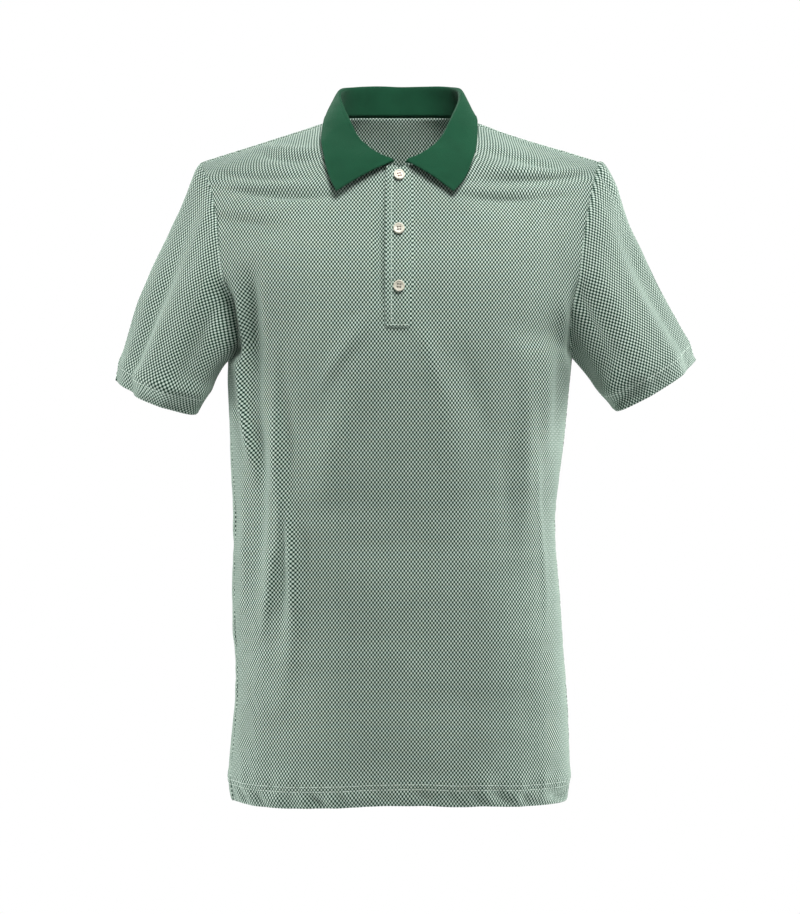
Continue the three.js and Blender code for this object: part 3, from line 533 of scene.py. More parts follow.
def wall_faces(kept, outward, wide, count):
    """The faces of a closed wall: its outer skin, its inner skin, and a rim wherever the cloth ends."""
    rows, columns = kept.shape
    index = np.arange((rows + 1) * wide).reshape(rows + 1, wide)
    a, b = index[:-1, :columns], index[:-1, 1:columns + 1]
    c, d = index[1:, 1:columns + 1], index[1:, :columns]
    around = np.pad(kept, 1)
    faces = [
        np.stack([a, b, c, d], -1)[kept],
        np.stack([d, c, b, a], -1)[kept] + count,
    ]
    for beside, p, q in (
        (around[:-2, 1:-1], a, b), (around[2:, 1:-1], c, d),
        (around[1:-1, :-2], d, a), (around[1:-1, 2:], b, c),
    ):
        edge = kept & ~beside
        faces.append(np.stack([p + count, q + count, q, p], -1)[edge])
    if outward < 0:
        faces = [f[:, ::-1] for f in faces]
    return faces


def cloth_wall(name, grid, normals, outer, inner, flat, material, outward=1, kept=None):
    """A closed wall of cloth about a grid of middle points, outer and inner deep on its two sides."""
    rows, wide = grid.shape[:2]
    if kept is None:
        kept = np.ones((rows - 1, wide - 1), bool)
    skins = np.concatenate([
        (grid + normals * outer[..., None]).reshape(-1, 3), (grid - normals * inner[..., None]).reshape(-1, 3),
    ])
    faces = wall_faces(kept, outward, wide, rows * wide)
    return mesh_object(name, skins, faces, np.concatenate([flat.reshape(-1, 2)] * 2), material)


def finish_sheet(made, nodes):
    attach(made, "root")
    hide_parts(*nodes)


# Materials

class Nodes:
    """Short names for the nodes of one material."""

    def __init__(self, name):
        old = bpy.data.materials.get(name)
        if old:
            bpy.data.materials.remove(old)
        self.material = bpy.data.materials.new(name)
        self.material.use_nodes = True
        self.tree = self.material.node_tree
        self.tree.nodes.clear()
        self.out = self.add("ShaderNodeOutputMaterial")
        self.shader = self.add("ShaderNodeBsdfPrincipled")
        self.join(self.shader.outputs[0], self.out.inputs["Surface"])

    def add(self, kind, **values):
        node = self.tree.nodes.new(kind)
        for key, value in values.items():
            setattr(node, key, value)
        return node

    def join(self, a, b):
        self.tree.links.new(a, b)

    def put(self, socket, value):
        if isinstance(value, bpy.types.NodeSocket):
            self.join(value, socket)
        else:
            socket.default_value = value

    def math(self, operation, *values):
        node = self.add("ShaderNodeMath", operation=operation)
        for socket, value in zip(node.inputs, values):
            self.put(socket, value)
        return node.outputs[0]

    def mix(self, share, a, b):
        node = self.add("ShaderNodeMix", data_type="RGBA")
        self.put(node.inputs[0], share)
        self.put(node.inputs[6], a)
        self.put(node.inputs[7], b)
        return node.outputs[2]

    def between(self, value, low, high, to_low=0.0, to_high=1.0, soft=True):
        node = self.add("ShaderNodeMapRange", interpolation_type="SMOOTHSTEP" if soft else "LINEAR")
        for socket, number in zip(node.inputs, (value, low, high, to_low, to_high)):
            self.put(socket, number)
        return node.outputs[0]

    def noise(self, where, scale, detail=2.0, rough=0.5):
        node = self.add("ShaderNodeTexNoise")
        self.put(node.inputs["Vector"], where)
        self.put(node.inputs["Scale"], scale)
        self.put(node.inputs["Detail"], detail)
        self.put(node.inputs["Roughness"], rough)
        return node.outputs["Fac"]

    def cloth(self):
        """The place on the flat cloth, in metres: across, up, and the two together."""
        node = self.add("ShaderNodeUVMap", uv_map="cloth")
        parts = self.add("ShaderNodeSeparateXYZ")
        self.join(node.outputs[0], parts.inputs[0])
        return parts.outputs[0], parts.outputs[1], node.outputs[0]

    def wave(self, along, pitch, shift=0.0):
        return self.math("SINE", self.math("MULTIPLY_ADD", along, 2 * math.pi / pitch, shift))

    def object_place(self):
        return self.add("ShaderNodeTexCoord").outputs["Object"]

    def bump(self, height, distance, strength=1.0):
        node = self.add("ShaderNodeBump")
        node.inputs["Strength"].default_value = strength
        node.inputs["Distance"].default_value = distance
        self.put(node.inputs["Height"], height)
        self.join(node.outputs[0], self.shader.inputs["Normal"])

    def colour(self, colour, tone, spread):
        """The base colour, a little darker and lighter by a tone."""
        worn = self.add("ShaderNodeHueSaturation")
        self.put(worn.inputs["Color"], colour)
        self.join(self.between(tone, 0.3, 0.7, 1 - spread, 1 + spread), worn.inputs["Value"])
        self.join(worn.outputs[0], self.shader.inputs["Base Color"])

    def set(self, **values):
        for key, value in values.items():
            self.shader.inputs[key.replace("_", " ")].default_value = value


def body_knit(settings):
    """The two-colour knit of the body: small light and dark spots in a chequered order, with fine loops."""
    n = Nodes("body_knit")
    u, v, flat = n.cloth()
    spots = n.math("MULTIPLY", n.wave(u, settings.spot_width), n.wave(v, settings.spot_height))
    grain = n.noise(flat, 1400, 3.0, 0.6)
    uneven = n.math("MULTIPLY_ADD", n.math("SUBTRACT", grain, 0.5), 0.7, spots)
    light = n.between(uneven, 0.02, 0.4)
    dark = n.between(uneven, -0.06, -0.46)
    colour = n.mix(dark, n.mix(light, tuple(settings.ground), tuple(settings.light_spot)), tuple(settings.dark_spot))
    n.colour(colour, n.noise(n.object_place(), 9, 2.0, 0.5), 0.05)
    wales = n.math("ABSOLUTE", n.wave(u, 0.0018))
    courses = n.math("ABSOLUTE", n.wave(v, 0.00125))
    loops = n.math("MULTIPLY", wales, courses)
    height = n.math("ADD", n.math("MULTIPLY_ADD", loops, 0.5, grain), n.math("MULTIPLY", light, 0.35))
    n.bump(height, 0.00025, 0.55)
    n.join(n.between(grain, 0.3, 0.7, 0.8, 0.95), n.shader.inputs["Roughness"])
    n.set(Specular_IOR_Level=0.25, Sheen_Weight=0.35, Sheen_Roughness=0.45, Sheen_Tint=(0.8, 1.0, 0.85, 1.0))
    return n.material


def collar_knit(settings):
    """The solid flat knit of the collar, with fine ribs from the fold down to its edge, and painted shade between the
    ribs.
    """
    n = Nodes("collar_knit")
    u, v, flat = n.cloth()
    ribs = n.math("ABSOLUTE", n.wave(u, 0.0024))
    rows = n.math("ABSOLUTE", n.wave(v, 0.0016))
    grain = n.noise(flat, 1600, 3.0, 0.6)
    depth = n.math("MULTIPLY_ADD", rows, 0.35, ribs)
    shade = n.math("MULTIPLY_ADD", n.math("SUBTRACT", grain, 0.5), 0.9, depth)
    # Colour: the collar's colour on the rib tops, darkening to painted shade between the ribs, with a random tone from
    # the grain.
    colour = n.mix(n.between(shade, 0.1, 1.2), tuple(settings.shadow), tuple(settings.colour))
    n.colour(colour, n.noise(n.object_place(), 30, 3.0, 0.55), 0.08)
    n.bump(n.math("MULTIPLY_ADD", grain, 0.6, depth), 0.0003, 0.5)
    n.join(n.between(grain, 0.3, 0.7, 0.8, 0.95), n.shader.inputs["Roughness"])
    n.set(Specular_IOR_Level=0.15, Sheen_Weight=0.08, Sheen_Roughness=0.5, Sheen_Tint=(0.6, 1.0, 0.75, 1.0))
    return n.material


def plain_material(name, colour, roughness, scale, spread=0.06, **values):
    """One colour with a fine uneven tone."""
    n = Nodes(name)
    tone = n.noise(n.object_place(), scale, 3.0, 0.55)
    n.colour(tuple(colour), tone, spread)
    n.join(n.between(tone, 0.3, 0.7, roughness - 0.04, roughness + 0.04), n.shader.inputs["Roughness"])
    n.bump(tone, 0.00005, 0.3)
    n.set(**values)
    return n.material


# Settings

def colour_property(name, description, default):
    return bpy.props.FloatVectorProperty(
        name=name, description=description, default=(*default, 1.0), size=4, subtype="COLOR", min=0.0, max=1.0,
    )


def length_property(name, description, default):
    return bpy.props.FloatProperty(
        name=name, description=description, default=default, min=0.0, subtype="DISTANCE", unit="LENGTH",
        precision=5,
    )


def power_property(name, description, default):
    return bpy.props.FloatProperty(name=name, description=description, default=default, unit="POWER")


class PoloClothSettings(bpy.types.PropertyGroup):
    thickness: length_property("Thickness", "Thickness of the knitted body cloth", 0.0015)
    grid_pitch: length_property("Detail", "Distance between the points of the cloth", 0.0031)
    hem_depth: length_property("Hem depth", "Depth of the turned hem of the body", 0.0235)
    cuff_depth: length_property("Sleeve hem depth", "Depth of the turned hem of a sleeve", 0.022)
    spot_width: length_property("Pattern width", "Repeat of the chequered pattern across", 0.0037)
    spot_height: length_property("Pattern height", "Repeat of the chequered pattern up", 0.00486)
    ground: colour_property("Ground", "Colour between the spots", (0.098, 0.168, 0.13))
    light_spot: colour_property("Light spot", "Colour of the light spots", (0.545, 0.65, 0.575))
    dark_spot: colour_property("Dark spot", "Colour of the dark spots", (0.003, 0.026, 0.014))


class PoloCollarSettings(bpy.types.PropertyGroup):
    thickness: length_property("Thickness", "Thickness of the flat-knitted collar", 0.002)
    colour: colour_property("Colour", "Colour of the collar's ribs", (0.0085, 0.070, 0.033))
    # Painted shade between the collar's ribs, not a second yarn colour.
    shadow: colour_property("Between ribs", "Colour between the collar's ribs", (0.0035, 0.036, 0.0155))


class PoloButtonSettings(bpy.types.PropertyGroup):
    radius: length_property("Radius", "Radius of a button", 0.006)
    thickness: length_property("Thickness", "Thickness of a button at its rim", 0.0024)
    colour: colour_property("Colour", "Colour of the buttons", (0.62, 0.595, 0.49))
    thread: colour_property("Thread", "Colour of the thread that holds the buttons", (0.17, 0.13, 0.10))
    top_thread: colour_property("Top thread", "Colour of the top button's thread", (0.22, 0.07, 0.035))


class PoloStitchSettings(bpy.types.PropertyGroup):
    length: length_property("Length", "Length of one stitch", 0.0024)
    pitch: length_property("Pitch", "Distance from one stitch to the next", 0.003)
    thickness: length_property("Thickness", "Thickness of the thread", 0.00052)
    colour: colour_property("Colour", "Colour of the thread", (0.74, 0.86, 0.77))


class PoloStageSettings(bpy.types.PropertyGroup):
    floor_height: length_property("Floor drop", "How far the floor lies below the shoulder", 1.25)
    floor_colour: colour_property("Floor", "Colour of the floor", (0.85, 0.85, 0.85))
    key: power_property("Key light", "Power of the main light", 46.0)
    fill: power_property("Fill light", "Power of the front light", 2.3)
    sides: power_property("Side lights", "Power that the side and rear lights share in", 47.0)
    sky: bpy.props.FloatProperty(name="Sky", description="Strength of the light from all round", default=0.09)


MADE = {}


# Body

def panel_columns(panel, pitch):
    """Shares of the half width, closer together by the slit and by the seam."""
    whole = 240.0
    edge = np.array([0, 0.35, 0.8, 1.3, 2.0, 3.2, 5.0]) / whole
    start = SLIT_HALF_WIDTH / panel.lengths[1][ARMPIT] if panel.face < 0 else 0.0
    first = NECK_SHARE - start
    inner = start + first * np.linspace(0, 1, max(2, round(first * whole / pitch)) + 1)
    outer_end = 1 - edge[-1]
    steps = max(2, round((outer_end - NECK_SHARE) * whole / pitch))
    outer = np.linspace(NECK_SHARE, outer_end, steps + 1)[1:]
    near = 1 - edge[::-1][1:]
    half = np.concatenate([[0, start / 2] if start else [], inner, outer, near])
    half = np.unique(half)
    return np.concatenate([-half[:0:-1], half])


def panel_heights(panel, pitch, hem):
    """Heights counted in sections, closer together by the hem and its two lines of stitches."""
    up = [0, 0.4, 1.0, 1.9, 3.4, 5.6, 8, 10.5, 13, 15.5, 17.5]
    for line in (hem - HEM_LINES_APART, hem):
        up += [line - 1.3, line - 0.7, line, line + 0.7, line + 1.3]
    up += [hem + 3.4]
    z = RINGS[0][0] + np.array(sorted(up))
    low = np.interp(z, [r[0] for r in RINGS], np.arange(len(RINGS)))
    heights = list(low)
    side = 1
    for i in range(2, panel.count - 1):
        start = heights[-1] if i == 2 else i
        here = panel.knots(np.full((panel.count, 1), 0.3 * side))
        long = np.linalg.norm(here[i + 1] - here[i]) * (i + 1 - start)
        steps = max(2, round(long / pitch))
        heights += list(np.linspace(start, i + 1, steps + 1)[1:])
    first = np.linspace(heights[len(low) - 1], 2, max(2, round((2 - heights[len(low) - 1]) * 38 / pitch)) + 1)[1:]
    return np.unique(np.concatenate([low, first, [h for h in heights if h > 2]]).round(9))


def make_panel(panel, settings):
    """Folds a panel, adds its creases, seams and hem, and keeps what its neighbours need."""
    face, outward = panel.face, -panel.face
    pitch = settings.grid_pitch * 1000
    hem = settings.hem_depth * 1000
    half = settings.thickness * 500
    shares = panel_columns(panel, pitch)
    heights = panel_heights(panel, pitch, hem)
    plain = panel.climb(np.tile(shares, (panel.count, 1)), heights)
    middle = int(np.argmin(np.abs(shares)))
    flat = flat_cloth(plain, middle)
    normals = grid_normals(plain, outward)
    folds = crease_heights(plain, FRONT_FOLDS if face < 0 else BACK_FOLDS, face)
    folded = plain + normals * folds[..., None]
    armpit_row = int(np.argmin(np.abs(heights - ARMPIT)))

    u, v = flat[..., 0], flat[..., 1]
    reach = np.where(u < 0, -u[:, :1], u[:, -1:])
    from_side = np.maximum(reach - np.abs(u), 0)
    from_hem = v - v[:1]
    from_top = v[-1:] - v
    z = plain[..., 2]
    above = np.arange(len(heights))[:, None] >= armpit_row
    sewn = np.where(above, 1.0, smooth((z - VENT_TOP_Z) / 12))

    fine = crease_heights(folded, FRONT_CREASES if face < 0 else BACK_CREASES, face)
    seed = 11 if face < 0 else 23
    armpit_v = v[armpit_row][None, :]
    away = np.maximum(smooth(from_side / 25), smooth((v - armpit_v) / 20)) * smooth(from_top / 12)
    lumps = 0.9 * drift(u, v, 34, 70, seed) + 0.5 * drift(u, v, 15, 30, seed + 1)
    lumps = lumps + 0.16 * drift(u, v, 6, 8, seed + 2)
    pucker = np.sin(v / 1.6 + 2.4 * drift(u * 0, v, 20, 17, seed + 3))
    puckers = 0.18 * pucker * np.exp(-((from_side / 6) ** 2)) * sewn
    wavy = np.sin(u / 2.1 + 3 * drift(u, v * 0, 26, 20, seed + 4))
    crinkles = 0.55 * drift(u, v, 70, 9, seed + 11) * smooth((from_hem - 40) / 60) * fades(from_hem - 330, 120)
    puckers = puckers + crinkles + 0.35 * wavy * near(from_hem - hem + 3, 8)
    tucks = drift(u + 0.7 * v, v, 9, 60, seed + 9)
    puckers = puckers + 3.6 * tucks * np.exp(-(((from_hem - 9) / 7) ** 2)) * smooth((from_side - 4) / 22)
    puckers = puckers + 1.0 * np.exp(-(((from_hem - hem - 4) / 6) ** 2)) - 3.0 * (1 - smooth(from_hem / (hem + 3)))
    puckers = puckers + 1.1 * drift(u, v * 0, 30, 20, seed + 10) * np.exp(-(((from_hem - hem - 9) / 9) ** 2))
    shoulder = np.abs(shares)[None, :] > NECK_SHARE
    gathered = 0.22 * np.sin(u / 1.7 + 2 * drift(u, v * 0, 18, 20, seed + 5))
    puckers = puckers + np.where(shoulder, gathered, 0) * near(from_top, 5)
    waves = 1.6 * drift(u, v, 40, 90, seed + 6) * np.exp(-from_hem / 60)
    shaped = folded + grid_normals(folded, outward) * ((fine + lumps * 0.8 + waves) * away + puckers)[..., None]
    edge_grid = shaped[armpit_row:]
    shaped = pushed_in(shaped)
    if face < 0:
        raised = 4.5 * np.exp(-(((u - 10) / 120) ** 2)) + 0.9 * drift(u, v * 0, 30, 20, seed + 8)
        shaped[..., 2] += raised * (1 - smooth(from_hem / 140))

    lip = 0.4 * fades(from_side, LIP) * sewn + np.where(shoulder, 0.8 * fades(from_top, LIP), 0)
    shaped = shaped - grid_normals(shaped, outward) * lip[..., None]
    final = grid_normals(shaped, outward)
    rounded = 0.45 + 0.55 * smooth(from_hem / 1.6)
    rounded = rounded * (0.5 + 0.5 * smooth(from_side / 1.3)) * (0.55 + 0.45 * smooth(from_top / 1.0))
    band = fades(from_hem - hem - 0.5, 1.5)
    grooves = sum(near(from_hem - at, 0.8) for at in (hem - HEM_LINES_APART, hem))
    grooves = GROOVE * grooves * (1 - near(from_side, 3))
    outer = (half + HEM_STEPS[0] * band) * rounded - grooves
    inner = (half + HEM_STEPS[1] * band) * rounded
    kept = np.ones((len(heights) - 1, len(shares) - 1), bool)
    if face < 0:
        start = SLIT_HALF_WIDTH / panel.lengths[1][ARMPIT]
        inside = (np.abs(shares[:-1] + shares[1:]) / 2) < start * 0.999
        kept[np.ix_(plain[:-1, middle, 2] > SLIT_FOOT_Z, inside)] = False
    return {
        "grid": shaped, "normals": final, "outer": outer, "inner": inner, "flat": flat, "kept": kept,
        "outward": outward, "edge": edge_grid, "from_hem": from_hem, "from_top": from_top, "shares": shares,
    }


class POLO_OT_body(bpy.types.Operator):
    """Makes the front and the back of the shirt"""

    bl_idname = "polo.body"
    bl_label = "Front and Back"

    def execute(self, context):
        settings = context.scene.polo_cloth
        material = body_knit(settings)
        MADE["body_knit"] = material
        for face, name, flat, area in ((-1, "front", (0.535, 0.735), 0.323), (1, "back", (0.60, 0.80), 0.389)):
            panel = Panel(face)
            made = make_panel(panel, settings)
            MADE[name] = made
            MADE[name + "_panel"] = panel
            cloth = cloth_wall(
                name + "_cloth", made["grid"], made["normals"], made["outer"], made["inner"], made["flat"], material,
                made["outward"], made["kept"],
            )
            finish_sheet(cloth, [name])
        return {"FINISHED"}


# Sleeves

def armhole(side):
    """The armhole down the front's edge and up the back's, and how far round each point is, from 0 to 1."""
    column = 0 if side < 0 else -1
    down = MADE["front"]["edge"][::-1, column]
    up = MADE["back"]["edge"][:, column]
    shoulder, armpit = (down[0] + up[-1]) / 2, (down[-1] + up[0]) / 2
    first = np.vstack([shoulder, down[1:-1], armpit])
    second = np.vstack([armpit, up[1:-1], shoulder])
    turns = [far_along(line) / far_along(line)[-1] / 2 for line in (first, second)]
    return np.vstack([first, second[1:]]), np.concatenate([turns[0], 0.5 + turns[1][1:]])


def sleeve_fold(side, turn, t, rows, crease):
    degrees = turn * 360
    from_top = np.minimum(degrees, 360 - degrees)
    depth = np.zeros(np.broadcast(turn, t).shape)
    if crease:
        grown = smooth((t - 0.12) / 0.6)
        ahead = np.where(degrees < 180, degrees, degrees - 360)
        at, wide, deep = EDGE_DIPS[side]
        depth = CREASE_OUT * grown * np.exp(-from_top / 9)
        depth = depth - deep * grown * near(ahead - at, wide)
    for s, at, wide, start, end, high in rows:
        if s == side:
            along = np.clip((t - start) / (end - start), 0, 1)
            apart = (degrees - at + 180) % 360 - 180
            depth = depth + high * np.sin(math.pi * along) * near(apart, wide)
    return depth


def make_sleeve(side, settings):
    (ox, oz), (ix, iz), half_depth, droop, bend = CUFFS[side]
    outer, inner = np.array([ox, 0, oz], float), np.array([ix, 0, iz], float)
    centre, across = (outer + inner) / 2, (outer - inner) / 2
    forward = np.array([0, -half_depth, -droop], float)
    axis = np.cross(across, forward)
    axis /= np.linalg.norm(axis)
    if axis[2] > 0:
        axis = -axis
    points, turns = armhole(side)
    pitch = settings.grid_pitch * 1000
    cuff = settings.cuff_depth * 1000
    half = settings.thickness * 500

    # columns: from the underarm seam round over the top, closer by the seam and by the pressed edge
    top = np.array([0, 0.0012, 0.0028, 0.005, 0.0085])
    seam = np.array([0.0009, 0.002, 0.0036, 0.006, 0.010])
    fill = np.linspace(top[-1], 0.5 - seam[-1], round(0.48 * 400 / pitch) + 1)
    ahead = np.unique(np.concatenate([top, fill, 0.5 - seam]))
    turn = np.concatenate([-ahead[:0:-1], ahead])
    whole = np.mod(turn, 1.0)
    middle = len(ahead) - 1
    start = np.stack([np.interp(whole, turns, points[:, k]) for k in range(3)], axis=-1)
    a = whole * 2 * math.pi
    low = (1 - np.cos(a)) / 2
    way = np.stack([side * (0.86 - 0.06 * low), -0.25 * np.sin(a), -(0.5 + 0.1 * low)], axis=-1)
    way /= np.linalg.norm(way, axis=1, keepdims=True)
    start = start + way * (0.05 + 0.35 * smooth(low))[:, None]
    end = centre + across * np.cos(a)[:, None] + forward * np.sin(a)[:, None]
    long = np.linalg.norm(end - start, axis=1, keepdims=True)

    top_long = float(long[middle, 0])
    rows = np.array([0, 0.35, 0.8, 1.3, 2.0, 3.2, 5.0])
    body = np.linspace(5.0, top_long - cuff - 3, round((top_long - cuff - 8) / pitch) + 1)
    line = top_long - cuff
    rest = [line - 1.3, line - 0.7, line, line + 0.7, line + 1.3, line + 3.2]
    band = list(np.linspace(line + 5.5, top_long - 3.4, 5)) + [top_long - 1.9, top_long - 1.0, top_long - 0.4, top_long]
    t = (np.unique(np.concatenate([rows, body, rest, band])) / top_long)[:, None]
    t3 = t[..., None]
    plain = (
        start * (2 * t3**3 - 3 * t3**2 + 1) + way * bend * long * (t3**3 - 2 * t3**2 + t3)
        + end * (3 * t3**2 - 2 * t3**3) + axis * 0.7 * long * (t3**3 - t3**2)
    )
    outward = -side
    flat_turn = whole[None, :]
    normals = grid_normals(plain, outward)
    centre_line = plain.mean(axis=1, keepdims=True)
    if np.mean(np.sum(normals * (plain - centre_line), axis=2)) < 0:
        outward = -outward
        normals = -normals
    folded = plain + normals * sleeve_fold(side, flat_turn, t, SLEEVE_FOLDS, True)[..., None]

    flat = unrolled(plain, middle)
    u, v = flat[..., 0], flat[..., 1]
    from_start = t * long[:, 0][None, :]
    from_end = (1 - t) * long[:, 0][None, :]
    round_far = np.cumsum(np.linalg.norm(np.diff(plain, axis=1), axis=2), axis=1)
    round_far = np.concatenate([np.zeros((len(t), 1)), round_far], axis=1)
    from_seam = np.minimum(round_far, round_far[:, -1:] - round_far)
    seed = 41 if side < 0 else 57
    fine = sleeve_fold(side, flat_turn, t, SLEEVE_CREASES, False)
    lumps = 0.8 * drift(u, v, 26, 50, seed) + 0.35 * drift(u, v, 12, 22, seed + 1)
    lumps = lumps + 0.14 * drift(u, v, 6, 8, seed + 2)
    away = smooth(from_start / 12) * smooth(from_seam / 14)
    pucker = np.sin(u / 1.6 + 2.5 * drift(u, v * 0, 18, 20, seed + 3))
    puckers = 0.16 * pucker * np.exp(-((from_start / 7) ** 2))
    wavy = np.sin(u / 2.0 + 3 * drift(u, v * 0, 24, 20, seed + 4))
    puckers = puckers + 0.22 * wavy * np.exp(-(((from_end - cuff) / 6) ** 2))
    ahead = 0.35 + 0.65 * np.exp(-((((flat_turn * 360) - 85) / 50) ** 2))
    flare = (4.6 + 2.4 * drift(u, v * 0, 40, 20, seed + 5)) * np.exp(-(((from_end - cuff - 5) / 8) ** 2))
    flare = (flare - 6.4 * (1 - smooth(from_end / (cuff + 4)))) * ahead * (1 if side < 0 else 0.6)
    shaped = pushed_in(folded + grid_normals(folded, outward) * ((fine + lumps) * away + puckers + flare)[..., None])
    lip = 0.35 * fades(from_start, LIP) + 0.6 * fades(from_seam, LIP)
    shaped = shaped - grid_normals(shaped, outward) * lip[..., None]
    final = grid_normals(shaped, outward)
    rounded = (0.45 + 0.55 * smooth(from_end / 1.6)) * (0.5 + 0.5 * smooth(from_start / 1.3))
    hem = fades(from_end - cuff - 0.5, 1.5)
    groove = GROOVE * near(from_end - cuff, 0.8)
    return {
        "grid": shaped, "normals": final, "outer": (half + HEM_STEPS[0] * hem) * rounded - groove,
        "inner": (half + HEM_STEPS[1] * hem) * rounded, "flat": flat, "outward": outward, "from_end": from_end,
    }


def unrolled(grid, middle):
    """The flat cloth of a sleeve: up from the hem along the pressed edge, and across from it."""
    rows, wide = grid.shape[:2]
    index = np.arange(rows * wide).reshape(rows, wide)
    quads = np.stack([index[:-1, :-1], index[:-1, 1:], index[1:, 1:], index[1:, :-1]], -1).reshape(-1, 4)
    deselect_all()
    paper = mesh_object("paper", grid.reshape(-1, 3), [quads])
    bpy.context.view_layer.objects.active = paper
    paper.select_set(True)
    paper.data.uv_layers.new(name="paper")
    bpy.ops.object.mode_set(mode="EDIT")
    bpy.ops.mesh.select_all(action="SELECT")
    bpy.ops.uv.unwrap(method="ANGLE_BASED", margin=0.0)
    bpy.ops.object.mode_set(mode="OBJECT")
    corners = np.empty(len(paper.data.loops), np.int32)
    paper.data.loops.foreach_get("vertex_index", corners)
    places = np.empty((len(corners), 2), np.float32)
    paper.data.uv_layers["paper"].data.foreach_get("uv", places.ravel())
    flat = np.zeros((rows * wide, 2))
    flat[corners] = places
    flat = flat.reshape(rows, wide, 2)
    old = paper.data
    bpy.data.objects.remove(paper)
    bpy.data.meshes.remove(old)
    real = np.linalg.norm(np.diff(grid, axis=0), axis=2).sum() + np.linalg.norm(np.diff(grid, axis=1), axis=2).sum()
    drawn = np.linalg.norm(np.diff(flat, axis=0), axis=2).sum() + np.linalg.norm(np.diff(flat, axis=1), axis=2).sum()
    flat = flat * real / drawn
    foot = flat[-1, middle].copy()
    up = flat[rows // 2, middle] - foot
    up /= np.linalg.norm(up)
    right = np.array([up[1], -up[0]])
    flat = np.stack([(flat - foot) @ right, (flat - foot) @ up], axis=-1)
    if flat[-1, -1, 0] < flat[-1, 0, 0]:
        flat[..., 0] *= -1
    return flat


class POLO_OT_sleeves(bpy.types.Operator):
    """Makes the two sleeves, set into the armholes"""

    bl_idname = "polo.sleeves"
    bl_label = "Sleeves"

    def execute(self, context):
        for side, name in ((-1, "sleeve_right"), (1, "sleeve_left")):
            made = make_sleeve(side, context.scene.polo_cloth)
            MADE[name] = made
            cloth = cloth_wall(
                name + "_cloth", made["grid"], made["normals"], made["outer"], made["inner"], made["flat"],
                MADE["body_knit"], made["outward"],
            )
            finish_sheet(cloth, [name])
        return {"FINISHED"}


# Collar

def make_collar(settings):
    around = 236
    t = np.linspace(0, 1, around + 1)
    rows = COLLAR + COLLAR[-2::-1]
    signs = [1] * len(COLLAR) + [-1] * (len(COLLAR) - 1)

    def curve(points):
        line = bent_line(points, 4001)
        return line[np.round(t * 4000).astype(int)]

    share = curve([(0, r[0], 0) for r in rows])[:, 1]
    top = curve([(s * r[1][0], r[1][1], r[1][2]) for r, s in zip(rows, signs)])
    edges = {k: curve([(s * r[2][k], r[3][0], r[3][1]) for r, s in zip(rows, signs)]) for k in (0, 1)}
    side = np.where(t <= 0.5, 1, -1)
    low = np.where((side > 0)[:, None], edges[1], edges[0])
    front, back = bent_line(FRONT_NECK), bent_line(BACK_NECK)
    neck = np.where((share <= 1)[:, None], read_line(front, np.clip(share, 0, 1)), read_line(back, np.clip(2 - share, 0, 1)))
    neck[:, 0] *= side
    neck[:, 2] += COLLAR_LIFT
    level = np.array([1, 1, 0])
    out = (low - top) * level
    out /= np.linalg.norm(out, axis=1, keepdims=True)
    ring = (top + [0, 5, 0]) * level
    out = out + ring / np.linalg.norm(ring, axis=1, keepdims=True)
    out /= np.linalg.norm(out, axis=1, keepdims=True)
    down = np.array([0, 0, FOLD_HALF_GAP])
    within, beyond = top - out * FOLD_HALF_GAP - down, top + out * FOLD_HALF_GAP - down
    bulge = 0.04 * np.linalg.norm(low - beyond, axis=1, keepdims=True)

    def third(k):
        lift = np.array([0, 0, 0.4]) * bulge * math.sin(math.pi * k)
        return beyond + (low - beyond) * k + out * bulge * math.sin(math.pi * k) ** 0.8 + lift

    profile = [neck, (neck + within) / 2, within, top, beyond, third(0.25), third(0.5), third(0.75), low]
    fine = 48
    grid = np.stack([bent_line([p[i] for p in profile], fine + 1) for i in range(around + 1)], axis=1)
    return grid


class POLO_OT_collar(bpy.types.Operator):
    """Makes the flat-knitted collar with its turned-down fall"""

    bl_idname = "polo.collar"
    bl_label = "Collar"

    def execute(self, context):
        settings = context.scene.polo_collar
        material = collar_knit(settings)
        grid = make_collar(settings)
        half = settings.thickness * 500
        middle = grid.shape[1] // 2
        flat = flat_cloth(grid, middle)
        u, v = flat[..., 0], flat[..., 1]
        from_low = v[-1:] - v
        from_end = np.minimum(u - u[:, :1], u[:, -1:] - u)
        lumps = 0.55 * drift(u, v, 22, 18, 71) + 0.16 * drift(u, v, 7, 7, 72)
        edge_wave = 0.7 * np.sin(u / 11 + 1.5 * drift(u, v * 0, 30, 20, 73)) * np.exp(-from_low / 9)
        shaped = grid + grid_normals(grid, 1) * ((lumps + edge_wave) * smooth(v / 12))[..., None]
        normals = grid_normals(shaped, 1)
        rounded = (0.5 + 0.5 * smooth(from_low / 1.6)) * (0.5 + 0.5 * smooth(from_end / 1.6))
        bead = 0.2 * np.exp(-(((from_low - 1.4) / 1.0) ** 2)) - 0.25 * np.exp(-(((from_low - 3.4) / 0.7) ** 2))
        thick = (half + bead) * rounded
        cloth = cloth_wall("collar_knitted", shaped, normals, thick, thick, flat, material)
        finish_sheet(cloth, ["collar"])
        return {"FINISHED"}


# Placket

def make_strip(xs, top, bottom, offset, rows):
    """A strip of the placket: columns at true distances from the middle, offset out or in from the front."""
    panel = MADE["front_panel"]
    stretch = panel.top_length * NECK_SHARE / far_along(panel.neck)[-1]
    shares = np.zeros((panel.count, len(xs)))
    for i in range(panel.count - 1):
        shares[i] = xs / np.where(xs < 0, panel.lengths[-1][i], panel.lengths[1][i])
    shares[-1] = xs / panel.top_length * stretch
    fine = np.linspace(0, panel.count - 1, 4000)
    line = panel.climb(np.zeros((panel.count, 1)), fine)[:, 0, 2]
    heights = np.interp(np.linspace(bottom, top, rows + 1), line, fine)
    plain = panel.climb(shares, heights)
    folded = plain + grid_normals(plain, 1) * crease_heights(plain, FRONT_FOLDS, -1)[..., None]
    normals = grid_normals(folded, 1)
    return folded + normals * offset, normals


